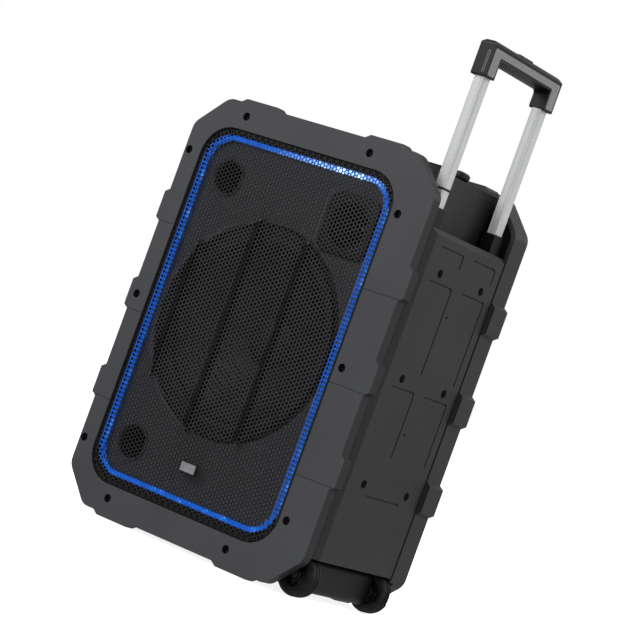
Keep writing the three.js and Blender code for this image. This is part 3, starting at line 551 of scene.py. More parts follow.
def powder_coat(name, rgb, painted_highlight_rgb, painted_glow_rgb):
    """Grille paint: orange-peel relief, a painted highlight over the woofer and the horn, painted shadows in
    three stripes over the woofer, and a painted blue glow of the ring's light on the grille beside the ring.
    """
    finish = Finish(name)
    peel = finish.noise(1400.0, 2.0)
    cloud = finish.noise(22.0, 3.0)
    # painted highlight: the webs are lighter over the woofer and the horn
    woofer = centre_of("woofer_gasket")
    reach = (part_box("woofer_cone")[1].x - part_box("woofer_cone")[0].x) / 2 + 24 * MM
    over_woofer = finish.ranged(
        finish.length_of(finish.off_centre("X", woofer.x), finish.off_centre("Z", woofer.z)),
        reach, reach - 2 * MM)
    horn = centre_of("tweeter_horn")
    horn_half = (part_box("tweeter_horn")[1].x - horn.x)
    over_horn = finish.ranged(
        finish.math("MAXIMUM", finish.off_centre("X", horn.x), finish.off_centre("Z", horn.z)),
        horn_half, horn_half - 2 * MM)
    painted_highlight = finish.math("MAXIMUM", over_woofer, over_horn)
    base = finish.mixed(painted_highlight, scaled(rgb, 1.0), scaled(painted_highlight_rgb, 1.0))
    tone_and_rib_shadow = finish.ranged(cloud, 0.3, 0.7, 0.8, 1.2)
    # painted shade: three soft dark stripes over the woofer, shadows of the guard ribs behind the grille
    for rib in (-95, -25, 45):
        rib_shadow = finish.ranged(finish.off_centre("X", woofer.x + rib * MM), 2.5 * MM, 5.5 * MM, 0.05, 1.0)
        flat = finish.math("SUBTRACT", 1.0, over_woofer)
        tone_and_rib_shadow = finish.math("MULTIPLY", tone_and_rib_shadow, finish.math("MAXIMUM", rib_shadow, flat))
    peel_tone_and_rib_shadow = finish.math("MULTIPLY", tone_and_rib_shadow, finish.ranged(peel, 0.5, 0.8, 1.0, 1.5))
    paint = finish.add("ShaderNodeVectorMath", {"Scale": peel_tone_and_rib_shadow}, operation="SCALE")
    finish.put(paint.inputs[0], base)
    # painted light: the webs beside the ring glow blue as if lit by it
    low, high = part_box("led_light_ring")
    ring = (low + high) / 2
    band = RING_BAND
    away = finish.from_ring(ring, (high.x - low.x - band) / 2, (high.z - low.z - band) / 2, RING_ROUND)
    painted_ring_glow = finish.ranged(away, 0.5 * band, 0.3 * band)
    beads = finish.ranged(finish.noise(140.0, 1.0), 0.3, 0.7, 0.7, 1.15)
    finish.surface(
        Base_Color=paint.outputs["Vector"],
        Roughness=finish.ranged(cloud, 0.3, 0.7, 0.42, 0.56),
        Normal=finish.relief(peel, 0.02 * MM),
        Specular_IOR_Level=0.35,
        Emission_Color=scaled(painted_glow_rgb, 1.0),
        Emission_Strength=finish.math("MULTIPLY", painted_ring_glow, beads),
    )
    return finish.material


def lit_guide(name, rgb, strength):
    """Milky light guide glowing blue, with hot spots over its diodes and a white-blue core along the top."""
    finish = Finish(name)
    beads = finish.add(
        "ShaderNodeTexVoronoi", {"Vector": finish.place, "Scale": 62.0}, feature="F1").outputs["Distance"]
    spot = finish.ranged(beads, 0.62, 0.05)
    across = finish.axis("X")
    high = finish.axis("Z")
    top = finish.ranged(high, 0.424, 0.432)
    near_right = finish.math("MULTIPLY",
                             finish.ranged(across, -0.06, 0.0), finish.ranged(across, 0.118, 0.07))
    hot = finish.math("MULTIPLY", finish.math("MULTIPLY", top, near_right),
                      finish.ranged(spot, 0.2, 0.8, 0.45, 1.0))
    glow = finish.mixed(finish.ranged(spot, 0.3, 1.0, 0.0, 0.5), scaled(rgb, 1.0), (0.1, 0.42, 1.0, 1.0))
    low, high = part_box("led_light_ring")
    away = finish.from_ring((low + high) / 2, (high.x - low.x) / 2 - RING_BAND / 2,
                            (high.z - low.z) / 2 - RING_BAND / 2, RING_ROUND)
    core = finish.ranged(away, 0.48 * RING_BAND, 0.34 * RING_BAND, 0.12, 1.0)
    level = finish.ranged(hot, 0.0, 1.0, strength, 2.4 * strength)
    finish.surface(
        Base_Color=scaled(rgb, 0.15),
        Roughness=0.35,
        Emission_Color=finish.mixed(hot, glow, (0.55, 0.85, 1.0, 1.0)),
        Emission_Strength=finish.math(
            "MULTIPLY", finish.math("MULTIPLY", finish.ranged(spot, 0.0, 1.0, 0.85, 1.25), level), core),
    )
    return finish.material


def pressed_paper(name, rgb):
    """Pressed paper pulp with short fibres and a faint coating."""
    finish = Finish(name)
    fibres = finish.noise(700.0, 5.0, 0.7, finish.stretched((1.0, 0.35, 1.0)))
    cloud = finish.noise(40.0, 3.0)
    body = finish.mixed(finish.ranged(cloud, 0.3, 0.7), scaled(rgb, 0.8), scaled(rgb, 1.25))
    finish.surface(
        Base_Color=finish.mixed(finish.ranged(fibres, 0.52, 0.75), body, scaled(rgb, 2.2)),
        Roughness=finish.ranged(fibres, 0.3, 0.7, 0.42, 0.62),
        Normal=finish.relief(fibres, 0.06 * MM),
        Specular_IOR_Level=0.5,
    )
    return finish.material


def matte_rubber(name, rgb, roughness=0.72, dust=0.25):
    """Matte rubber with a fine skin texture and a little dust on it."""
    finish = Finish(name)
    skin = finish.noise(1100.0, 3.0)
    cloud = finish.noise(55.0, 5.0, 0.7)
    body = finish.mixed(finish.ranged(skin, 0.4, 0.7), scaled(rgb, 0.85), scaled(rgb, 1.3))
    dusty = finish.mixed(finish.ranged(cloud, 0.5, 0.8, 0.0, dust), body, (0.11, 0.105, 0.098, 1.0))
    finish.surface(
        Base_Color=dusty,
        Roughness=finish.ranged(cloud, 0.3, 0.7, roughness - 0.08, roughness + 0.1),
        Normal=finish.relief(skin, 0.05 * MM),
        Specular_IOR_Level=0.35,
    )
    return finish.material


def drawn_aluminium(name, rgb):
    """Satin aluminium with fine draw lines along the tube."""
    finish = Finish(name)
    lines = finish.noise(900.0, 3.0, 0.6, finish.stretched((1.0, 1.0, 0.006)))
    cloud = finish.noise(18.0, 3.0, 0.5, finish.stretched((1.0, 1.0, 0.25)))
    body = finish.mixed(finish.ranged(lines, 0.3, 0.7), scaled(rgb, 0.86), scaled(rgb, 1.04))
    finish.surface(
        Base_Color=body,
        Metallic=0.1,
        Roughness=finish.ranged(cloud, 0.3, 0.7, 0.4, 0.5),
        Normal=finish.relief(lines, 0.012 * MM),
    )
    return finish.material


def turned_steel(name, rgb, roughness=0.35, metallic=1.0):
    """Machined or blackened steel with fine turning marks."""
    finish = Finish(name)
    marks = finish.noise(2200.0, 2.0, 0.5)
    cloud = finish.noise(90.0, 4.0)
    finish.surface(
        Base_Color=finish.mixed(finish.ranged(cloud, 0.35, 0.7), scaled(rgb, 0.75), scaled(rgb, 1.1)),
        Metallic=metallic,
        Roughness=finish.ranged(marks, 0.3, 0.7, roughness - 0.08, roughness + 0.1),
        Normal=finish.relief(marks, 0.01 * MM),
    )
    return finish.material


def solder_mask(name, rgb):
    """Green circuit board lacquer with faint copper runs under it."""
    finish = Finish(name)
    runs = finish.add(
        "ShaderNodeTexBrick", {"Vector": finish.place, "Scale": 120.0, "Mortar Size": 0.06}).outputs["Fac"]
    finish.surface(
        Base_Color=finish.mixed(runs, scaled(rgb, 1.0), scaled(rgb, 2.2)),
        Roughness=finish.ranged(finish.noise(200.0), 0.3, 0.7, 0.25, 0.4),
        Normal=finish.relief(runs, 0.03 * MM),
    )
    return finish.material


def dark_glass(name, rgb):
    """Tinted display window with faint smears."""
    finish = Finish(name)
    smears = finish.noise(45.0, 5.0, 0.7, finish.stretched((1.0, 1.0, 0.4)))
    finish.surface(
        Base_Color=finish.mixed(finish.ranged(smears, 0.4, 0.7), scaled(rgb, 0.9), scaled(rgb, 1.3)),
        Roughness=finish.ranged(smears, 0.35, 0.75, 0.06, 0.2),
        Normal=finish.relief(smears, 0.01 * MM),
        Coat_Weight=0.6,
        Coat_Roughness=0.05,
    )
    return finish.material


def lit_marks(name, rgb, strength):
    """Lit marks behind the display window."""
    finish = Finish(name)
    dots = finish.noise(2500.0, 1.0)
    finish.surface(
        Base_Color=scaled(rgb, 0.6),
        Roughness=0.4,
        Emission_Color=finish.mixed(finish.ranged(dots, 0.4, 0.7), scaled(rgb, 0.8), scaled(rgb, 1.2)),
        Emission_Strength=strength,
    )
    return finish.material


def floor_paint(name):
    """Pale studio floor that stays bright and takes a soft shadow."""
    finish = Finish(name)
    cloud = finish.noise(1.5, 3.0)
    finish.surface(
        Base_Color=finish.mixed(cloud, (0.9, 0.9, 0.9, 1.0), (0.94, 0.94, 0.94, 1.0)),
        Roughness=0.9,
        Specular_IOR_Level=0.0,
        Emission_Color=(1.0, 1.0, 1.0, 1.0),
        Emission_Strength=0.85,
    )
    return finish.material


LOOKS = {}


def make_looks(colours):
    """Makes every finish once; LOOKS holds each under its own name."""
    # painted shade on the front frame's sides
    LOOKS["slate_plastic"] = moulded_plastic(
        "slate_plastic", colours.slate, 0.5, wear=0.1, shaded_side_rgb=colours.slate_shaded_side)
    LOOKS["dark_plastic"] = moulded_plastic("dark_plastic", colours.dark, 0.55, relief=0.05)
    LOOKS["rim_plastic"] = moulded_plastic("rim_plastic", colours.rim, 0.5, relief=0.045)
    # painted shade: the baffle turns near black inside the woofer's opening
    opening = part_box("woofer_gasket")[1].x - centre_of("woofer_gasket").x - 6.8 * MM
    LOOKS["baffle_plastic"] = moulded_plastic(
        "baffle_plastic", colours.baffle, 0.6, wear=0.1, specular=0.25,
        painted_shade_disc=(centre_of("woofer_gasket"), opening))
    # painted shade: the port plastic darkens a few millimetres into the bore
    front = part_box("port_tube_upper")[0].y
    LOOKS["port_plastic"] = moulded_plastic(
        "port_plastic", colours.baffle, 0.6, specular=0.25, painted_shade_fade=("Y", front + 1 * MM, front + 6 * MM))
    # painted shade: the well liner darkens towards the back, where the tubes and the rear frame shade it
    well_low, well_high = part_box("handle_well")
    LOOKS["well_plastic"] = moulded_plastic(
        "well_plastic", colours.dark, 0.55, painted_shade_fade=("Y", 0.4 * well_low.y, 0.75 * well_high.y))
    LOOKS["black_plastic"] = moulded_plastic("black_plastic", colours.black, 0.42, wear=0.25)
    LOOKS["black_gloss"] = moulded_plastic("black_gloss", colours.black, 0.24, relief=0.01, wear=0.2)
    # painted highlight, painted rib shadows and a painted blue glow of the ring on the grille
    LOOKS["grille_steel"] = powder_coat(
        "grille_steel", colours.grille, colours.grille_painted_highlight, tint("0052bc"))
    LOOKS["light_guide"] = lit_guide("light_guide", colours.light, 1.0)
    LOOKS["circuit_board"] = solder_mask("circuit_board", tint("124a30"))
    LOOKS["speaker_paper"] = pressed_paper("speaker_paper", colours.paper)
    LOOKS["soft_rubber"] = matte_rubber("soft_rubber", colours.rubber, 0.6, 0.08)
    LOOKS["tyre_rubber"] = matte_rubber("tyre_rubber", colours.tyre, 0.62, 0.3)
    LOOKS["tube_aluminium"] = drawn_aluminium("tube_aluminium", colours.aluminium)
    LOOKS["plain_steel"] = turned_steel("plain_steel", tint("a4a6aa"))
    LOOKS["black_steel"] = turned_steel("black_steel", tint("101011"), 0.5, 0.2)
    LOOKS["handle_rubber"] = matte_rubber("handle_rubber", colours.rubber, 0.42, 0.04)
    LOOKS["grey_inset"] = matte_rubber("grey_inset", colours.inset, 0.62, 0.0)
    LOOKS["ferrite"] = turned_steel("ferrite", tint("2c2c2e"), 0.6, 0.2)
    LOOKS["display_lens"] = dark_glass("display_lens", tint("0a0d12"))
    LOOKS["badge_metal"] = turned_steel("badge_metal", colours.badge, 0.34)
    LOOKS["lit_marks"] = lit_marks("lit_marks", tint("8fd4ff"), 1.6)


# CAD nodes that keep their own shape, by finish
KEPT_NODES = {
    "black_plastic": ["woofer_basket", "power_inlet"],
    "circuit_board": ["amplifier_board", "led_strip"],
    "soft_rubber": ["woofer_gasket"],
    "plain_steel": ["wheel_axle", "heat_sink", "woofer_voice_coil"],
    "black_steel": ["power_supply"],
    "ferrite": ["woofer_magnet", "tweeter_driver"],
    "speaker_paper": ["woofer_spider"],
    "dark_plastic": ["battery_pack"],
}


# ---------------------------------------------------------------- shared shapes


def centre_of(node):
    low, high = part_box(node)
    return (low + high) / 2


def within(across, up, low, high, radius):
    """True inside a rectangle with round corners."""
    over = max(low[0] + radius - across, across - (high[0] - radius), 0.0)
    above = max(low[1] + radius - up, up - (high[1] - radius), 0.0)
    return math.hypot(over, above) < radius


def honeycomb(name, low, high, radius, pitch, hole, thickness):
    """A sheet of six-sided holes in upright columns, trimmed to a rectangle with round corners."""
    step = pitch * math.sqrt(3) / 2
    leave_all()
    bpy.ops.mesh.primitive_circle_add(
        vertices=6, radius=pitch / math.sqrt(3), fill_type="NGON",
        location=(low.x - 0.48 * step, low.y, low.z), rotation=(math.pi / 2, math.pi / 6, 0))
    sheet = named(name)
    bpy.ops.object.transform_apply(location=True, rotation=True, scale=True)
    edit_all(sheet)
    bpy.ops.mesh.inset(thickness=(pitch - hole) / 2)
    bpy.ops.mesh.delete(type="FACE")
    bpy.ops.mesh.select_all(action="SELECT")
    bpy.ops.mesh.duplicate_move(TRANSFORM_OT_translate={"value": (step, 0, pitch / 2)})
    leave_all()
    for count, offset in (
            (int((high.x - low.x) / (2 * step)) + 2, (2 * step, 0, 0)),
            (int((high.z - low.z) / pitch) + 1, (0, 0, pitch))):
        array = sheet.modifiers.new("repeat", "ARRAY")
        array.use_relative_offset = False
        array.use_constant_offset = True
        array.constant_offset_displace = offset
        array.count = count
    apply_modifiers(sheet)
    edit_all(sheet, "VERT")
    bpy.ops.mesh.remove_doubles(threshold=0.02 * MM)
    corners = ((low.x, low.z), (high.x, high.z))
    edit_faces(sheet, lambda c, n: not within(c.x, c.z, *corners, radius))
    bpy.ops.mesh.delete(type="FACE")
    leave_all()
    plate = sheet.modifiers.new("plate", "SOLIDIFY")
    plate.thickness = thickness
    plate.offset = -1.0
    return apply_modifiers(sheet)


def screw(name, radius, height):
    """A pan head with a cross recess, facing the front, with the middle of its underside at the origin."""
    head = rod(name, (0, 0, 0), (0, -height, 0), radius, 28)
    edit_faces(head, lambda c, n: n.y < -0.9)
    bpy.ops.mesh.bevel(offset=0.45 * height, segments=3)
    leave_all()
    slot = 0.17 * radius
    reach = 0.62 * radius
    floor = -0.45 * height
    bars = [
        block("bar", (-reach, -2 * height, -slot), (reach, floor, slot)),
        block("bar", (-slot, -2 * height, -reach), (slot, floor, reach)),
    ]
    return smoothed(carved(head, bars), 30)


def screws_at(name, model, places, facing=FRONT):
    """Copies of a screw, each turned a little differently, as one group."""
    turn = facing.to_track_quat("-Y", "Z").to_matrix().to_4x4()
    if facing == RIGHT:
        turn = Matrix.Rotation(math.pi / 2, 4, "Z")
    if facing == BACK:
        turn = Matrix.Rotation(math.pi, 4, "Z")
    heads = []
    for i, place in enumerate(places):
        spin = Matrix.Rotation(0.7 * i, 4, "Y")
        heads.append(duplicate(model, name, Matrix.Translation(place) @ turn @ spin))
    return joined(heads, name)


# ---------------------------------------------------------------- operators


class SPEAKER_OT_finishes(bpy.types.Operator):
    """Makes the finishes and coats the CAD nodes that stay in view"""

    bl_idname = "speaker.finishes"
    bl_label = "Finishes"

    def execute(self, context):
        make_looks(context.scene.speaker_colours)
        for look, nodes in KEPT_NODES.items():
            for node in nodes:
                coated(node, LOOKS[look])
        return {"FINISHED"}


class SPEAKER_OT_frames(bpy.types.Operator):
    """Rounds the moulded edges of the front and rear end frames"""

    bl_idname = "speaker.frames"
    bl_label = "End frames"

    def execute(self, context):
        sizes = context.scene.speaker_sizes
        front = softened(copied("front_bezel", "front_frame"), sizes.frame_edge)
        finished(front, "cabinet", LOOKS["slate_plastic"], "slate_plastic", "front_bezel")
        rear = softened(copied("rear_frame", "rear_end_frame"), sizes.rear_edge, 3)
        finished(rear, "cabinet", LOOKS["rim_plastic"], "rim_plastic", "rear_frame")
        return {"FINISHED"}


class SPEAKER_OT_grille(bpy.types.Operator):
    """Builds the perforated grille with its folded edge"""

    bl_idname = "speaker.grille"
    bl_label = "Grille"

    def execute(self, context):
        sizes = context.scene.speaker_sizes
        low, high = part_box("grille")
        corner = 35.6 * MM
        thickness = high.y - low.y
        sheet = honeycomb(
            "grille_upper", low, high, corner, sizes.hole_pitch, sizes.hole_width, 0.75 * thickness)
        middle = (low.z + high.z) / 2
        edit_faces(sheet, lambda c, n: c.z < middle)
        bpy.ops.mesh.separate(type="SELECTED")
        leave_all()
        lower = bpy.data.objects["grille_upper.001"]
        lower.name = "grille_lower"
        lower.data.name = "grille_lower"
        for half in (sheet, lower):
            finished(half, "cabinet", LOOKS["grille_steel"], "grille_steel", "grille")
        outline = [(x, low.y, z) for x, z in rounded_rectangle((low.x, low.z), (high.x, high.z), corner, 12)]
        hem = prism("grille_hem", outline, (0, thickness, 0))
        edit_faces(hem, lambda c, n: abs(n.y) > 0.9)
        bpy.ops.mesh.inset(thickness=sizes.hem_width)
        bpy.ops.mesh.bridge_edge_loops()
        mended(hem)
        finished(softened(hem, 0.4 * MM), "cabinet", LOOKS["grille_steel"], "grille_steel", "grille")
        self.dark_shade_frame(low, high, corner)
        return {"FINISHED"}

    def dark_shade_frame(self, low, high, corner):
        """A dark frame in the rubber finish between the grille and the baffle, around the light ring: a dark
        sheet standing for the shade that falls behind the grille's outer band.
        """
        ring_low, ring_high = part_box("led_light_ring")
        gap = 0.5 * MM
        front = high.y + gap
        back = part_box("front_baffle")[1].y - 5 * MM
        outline = [(x, front, z) for x, z in rounded_rectangle(
            (low.x + gap, low.z + gap), (high.x - gap, high.z - gap), corner - gap, 12)]
        shade_frame = prism("shade_frame_sheet", outline, (0, back - front, 0))
        inside = [(x, front - MM, z) for x, z in rounded_rectangle(
            (ring_low.x - gap, ring_low.z - gap), (ring_high.x + gap, ring_high.z + gap), 34.6 * MM, 12)]
        carved(shade_frame, [prism("inside", inside, (0, back - front + 2 * MM, 0))])
        finished(softened(shade_frame, 0.4 * MM), "cabinet", LOOKS["soft_rubber"], "soft_rubber")


class SPEAKER_OT_badge(bpy.types.Operator):
    """Builds the blank badge: a dark frame around a brushed plate"""

    bl_idname = "speaker.badge"
    bl_label = "Badge"

    def execute(self, context):
        low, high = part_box("badge_plate")
        rim = 1.9 * MM
        outline = [(x, low.y, z) for x, z in rounded_rectangle((low.x, low.z), (high.x, high.z), 2 * MM, 5)]
        surround = prism("badge_surround", outline, (0, high.y - low.y, 0))
        edit_faces(surround, lambda c, n: n.y < -0.9)
        bpy.ops.mesh.inset(thickness=rim)
        push((0, 0.5 * MM, 0))
        leave_all()
        softened(surround, 0.25 * MM)
        finished(surround, "cabinet", LOOKS["black_plastic"], "black_plastic", "badge_plate")
        face = 0.45 * MM
        plate = block("badge_face", (low.x + rim, low.y + 0.1 * MM, low.z + rim),
                      (high.x - rim, low.y + face, high.z - rim))
        edit_faces(plate, lambda c, n: n.y < -0.9)
        bpy.ops.mesh.inset(thickness=1.1 * MM)
        push((0, 0.12 * MM, 0))
        leave_all()
        finished(softened(plate, 0.08 * MM), "cabinet", LOOKS["badge_metal"], "badge_metal")
        return {"FINISHED"}


class SPEAKER_OT_ring_light(bpy.types.Operator):
    """Rounds the light guide and lights it"""

    bl_idname = "speaker.ring_light"
    bl_label = "Ring light"

    def execute(self, context):
        guide = softened(copied("led_light_ring", "ring_light_guide"), 0.7 * MM, 3)
        finished(guide, "cabinet", LOOKS["light_guide"], "light_guide", "led_light_ring")
        return {"FINISHED"}


class SPEAKER_OT_baffle(bpy.types.Operator):
    """Builds the board behind the grille and the two bass ports"""

    bl_idname = "speaker.baffle"
    bl_label = "Baffle and ports"

    def execute(self, context):
        board = softened(copied("front_baffle", "baffle_board"), 0.5 * MM)
        finished(board, "cabinet", LOOKS["baffle_plastic"], "dark_plastic", "front_baffle")
        for place in ("upper", "lower"):
            self.port(place)
        return {"FINISHED"}

    def port(self, place):
        """A flared tube: a rounded flange that rolls into a long bore."""
        node = f"port_tube_{place}"
        low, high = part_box(node)
        centre = centre_of(node)
        flange = (high.x - low.x) / 2
        bore = 17 * MM
        wall = 2 * MM
        lip = 2.2 * MM
        roll = flange - bore - 0.6 * MM
        profile = [(flange, low.y + lip), (flange, low.y + 0.5 * MM), (flange - 0.5 * MM, low.y)]
        steps = 8
        for i in range(steps + 1):
            angle = math.pi / 2 * i / steps
            profile.append((bore + roll * (1 - math.sin(angle)), low.y + 2.4 * roll * (1 - math.cos(angle))))
        profile += [(bore, high.y), (bore + wall, high.y), (bore + wall, low.y + lip)]
        tube = smoothed(turned(f"bass_port_{place}", profile, centre, 48))
        finished(tube, "cabinet", LOOKS["port_plastic"], "black_plastic", node)


class SPEAKER_OT_woofer(bpy.types.Operator):
    """Builds the ribbed woofer cone, its dust cap and its rolled surround"""

    bl_idname = "speaker.woofer"
    bl_label = "Woofer"

    def execute(self, context):
        self.cone(context.scene.speaker_sizes.cone_rib)
        self.dust_cap()
        self.surround()
        return {"FINISHED"}

    def cone(self, rib):
        low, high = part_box("woofer_cone")
        rim = (high.x - low.x) / 2
        neck = 20.6 * MM
        wall = 1.9 * MM
        bend = 0.853
        count = 110
        front = []
        for i in range(count + 1):
            radius = rim + (neck - rim) * i / count
            share = (rim - radius) / (rim - neck)
            height = low.y + (high.y - wall - low.y) * share ** bend
            ribbed = 0.42 * rim < radius < 0.93 * rim
            wave = 0.5 - 0.5 * math.cos(2 * math.pi * radius / rib) if ribbed else 0.0
            front.append((radius, height + 0.55 * MM * wave))
        back = [(neck, high.y), (0.62 * rim, high.y - 21.6 * MM), (rim, low.y + 1.6 * MM)]
        cone = smoothed(turned("cone_paper", front + back, centre_of("woofer_cone"), 96), 40)
        finished(cone, "cone", LOOKS["speaker_paper"], "speaker_paper", "woofer_cone")

    def dust_cap(self):
        low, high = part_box("woofer_dust_cap")
        rim = (high.x - low.x) / 2
        crown = high.y - low.y - 1.2 * MM
        steps = 14
        front = [(rim * i / steps, low.y + crown * (i / steps) ** 2) for i in range(steps + 1)]
        back = [(radius * 0.96, height + 1.1 * MM) for radius, height in reversed(front)]
        cap = smoothed(turned("dust_cap", front + back, centre_of("woofer_dust_cap"), 64, False), 50)
        finished(cap, "cone", LOOKS["speaker_paper"], "speaker_paper", "woofer_dust_cap")

    def surround(self):
        low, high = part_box("woofer_surround")
        outer = (high.x - low.x) / 2
        inner = 96.3 * MM
        wall = 1.4 * MM
        roll = 104 * MM
        half = 7.2 * MM
        rise = high.y - low.y - wall
        steps = 14
        front = [(inner, high.y - wall)]
        back = []
        for i in range(steps + 1):
            angle = math.pi * (1 - i / steps)
            front.append((roll + half * math.cos(angle), high.y - wall - rise * math.sin(angle)))
            back.append((roll + (half - wall) * math.cos(angle),
                         high.y - (rise - 0.2 * MM) * math.sin(angle)))
        front += [(outer - 1 * MM, high.y - wall), (outer, high.y - 0.6 * wall), (outer, high.y)]
        ring = turned("rolled_surround", front + back[::-1] + [(inner, high.y)],
                      centre_of("woofer_surround"), 96)
        finished(smoothed(ring, 40), "cabinet", LOOKS["soft_rubber"], "soft_rubber", "woofer_surround")


class SPEAKER_OT_tweeter(bpy.types.Operator):
    """Builds the horn with its round mouth, and the dome and phase plug in its throat"""

    bl_idname = "speaker.tweeter"
    bl_label = "Tweeter"

    def execute(self, context):
        low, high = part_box("tweeter_horn")
        centre = centre_of("tweeter_horn")
        self.horn(low, high, centre)
        self.dome(centre, high.y)
        return {"FINISHED"}

    def horn(self, low, high, centre):
        mouth = 25 * MM
        throat = 12.5 * MM
        wall = 2 * MM
        flange = 3 * MM
        outline = [(x, low.y, z) for x, z in rounded_rectangle((low.x, low.z), (high.x, high.z), 12 * MM, 8)]
        plate = prism("horn_flare", outline, (0, flange, 0))
        softened(plate, 0.8 * MM, 3)
        carved(plate, [rod("bore", (centre.x, low.y - MM, centre.z), (centre.x, low.y + 2 * flange, centre.z),
                           mouth + 0.5 * wall, 64)])
        steps = 12
        inner = []
        for i in range(steps + 1):
            share = i / steps
            inner.append((throat + (mouth - throat) * (1 - share) ** 2, low.y + (high.y - low.y) * share))
        outer = [(radius + wall, height) for radius, height in reversed(inner)]
        flare = smoothed(turned("flare", inner + outer, centre, 64), 40)
        carved(plate, [flare], "UNION")
        finished(smoothed(plate, 35), "cabinet", LOOKS["black_plastic"], "black_plastic", "tweeter_horn")

    def dome(self, centre, back):
        """A glossy dome with a short bullet in front of it."""
        radius = 11.6 * MM
        profile = []
        steps = 10
        for i in range(steps + 1):
            angle = math.pi / 2 * i / steps
            profile.append((radius * math.sin(angle), back - 5 * MM - 6 * MM * math.cos(angle)))
        profile += [(radius, back - 3 * MM), (0, back - 3 * MM)]
        dome = smoothed(turned("tweeter_dome", profile, centre, 40, False), 40)
        finished(dome, "cabinet", LOOKS["display_lens"], "display_lens")
        plug = []
        for i in range(steps + 1):
            angle = math.pi / 2 * i / steps
            plug.append((3.4 * MM * math.sin(angle), back - 17 * MM - 5 * MM * math.cos(angle)))
        plug += [(2.2 * MM, back - 12 * MM), (0, back - 12 * MM)]
        bullet = turned("tweeter_plug", plug, centre, 32, False)
        arms = [
            block("arm", (centre.x - 14 * MM, back - 17 * MM, centre.z - 0.8 * MM),
                  (centre.x + 14 * MM, back - 14 * MM, centre.z + 0.8 * MM)),
            block("arm", (centre.x - 0.8 * MM, back - 17 * MM, centre.z - 14 * MM),
                  (centre.x + 0.8 * MM, back - 14 * MM, centre.z + 14 * MM)),
        ]
        carved(bullet, arms, "UNION")
        finished(smoothed(bullet, 40), "cabinet", LOOKS["display_lens"], "display_lens")


class SPEAKER_OT_cabinet(bpy.types.Operator):
    """Rounds the edges of the cabinet, the side cover, the handle well and the rear panel"""

    bl_idname = "speaker.cabinet"
    bl_label = "Cabinet and covers"

    def execute(self, context):
        edge = context.scene.speaker_sizes.cover_edge
        for node, name, look, width in (
                ("cabinet_shell", "cabinet_body", "dark_plastic", edge),
                ("side_cover", "side_cover_moulding", "dark_plastic", edge),
                ("handle_well", "handle_well_liner", "well_plastic", edge),
                ("rear_panel", "rear_cover", "dark_plastic", edge),
                ("control_panel", "control_plate", "black_plastic", 0.5 * edge),
                ("axle_housing", "axle_block", "black_plastic", 2 * edge),
                ("trolley_sleeve_front", "sleeve_front", "black_plastic", edge),
                ("trolley_sleeve_rear", "sleeve_rear", "black_plastic", edge)):
            piece = softened(copied(node, name), width)
            slot = "dark_plastic" if look == "well_plastic" else look
            finished(piece, "cabinet", LOOKS[look], slot, node)
        return {"FINISHED"}


class SPEAKER_OT_screws(bpy.types.Operator):
    """Builds the cross-head screws of the front frame, the side cover and the rear cover"""

    bl_idname = "speaker.screws"
    bl_label = "Screws"

    def execute(self, context):
        head = context.scene.speaker_sizes.screw_head
        height = 2.4 * MM
        model = screw("screw_model", head, height)
        low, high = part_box("front_bezel")
        middle = (low.z + high.z) / 2
        depth = low.y + 6.7 * MM
        centre = -15.4 * MM
        places = []
        for side in (-1, 1):
            places.append((centre + side * 86 * MM, depth, middle + 220.4 * MM))
            places.append((centre + side * 86 * MM, depth, middle - 218.4 * MM))
            for up in (-166.7 * MM, 0, 168.2 * MM):
                places.append((centre + side * 146.4 * MM, depth, middle + up))
        front = screws_at("front_screws", model, places)
        finished(front, "cabinet", LOOKS["black_steel"], "black_steel")
        side_nodes = [f"side_cover_screw_{i}" for i in range(1, 7)]
        places = []
        for node in side_nodes:
            low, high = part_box(node)
            places.append((high.x - 2.2 * MM, (low.y + high.y) / 2, (low.z + high.z) / 2))
        side = screws_at("side_screws", model, places, RIGHT)
        finished(side, "cabinet", LOOKS["black_steel"], "black_steel", *side_nodes)
        low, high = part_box("rear_panel")
        inset = 9 * MM
        places = []
        for up in (0.12, 0.37, 0.63, 0.88):
            for x in (low.x + inset, high.x - inset):
                places.append((x, high.y, low.z + up * (high.z - low.z)))
        for x in (-70 * MM, 70 * MM):
            for z in (low.z + inset, high.z - inset):
                places.append((x, high.y, z))
        rear = screws_at("rear_screws", model, places, BACK)
        finished(rear, "cabinet", LOOKS["black_steel"], "black_steel")
        bpy.data.objects.remove(model)
        return {"FINISHED"}


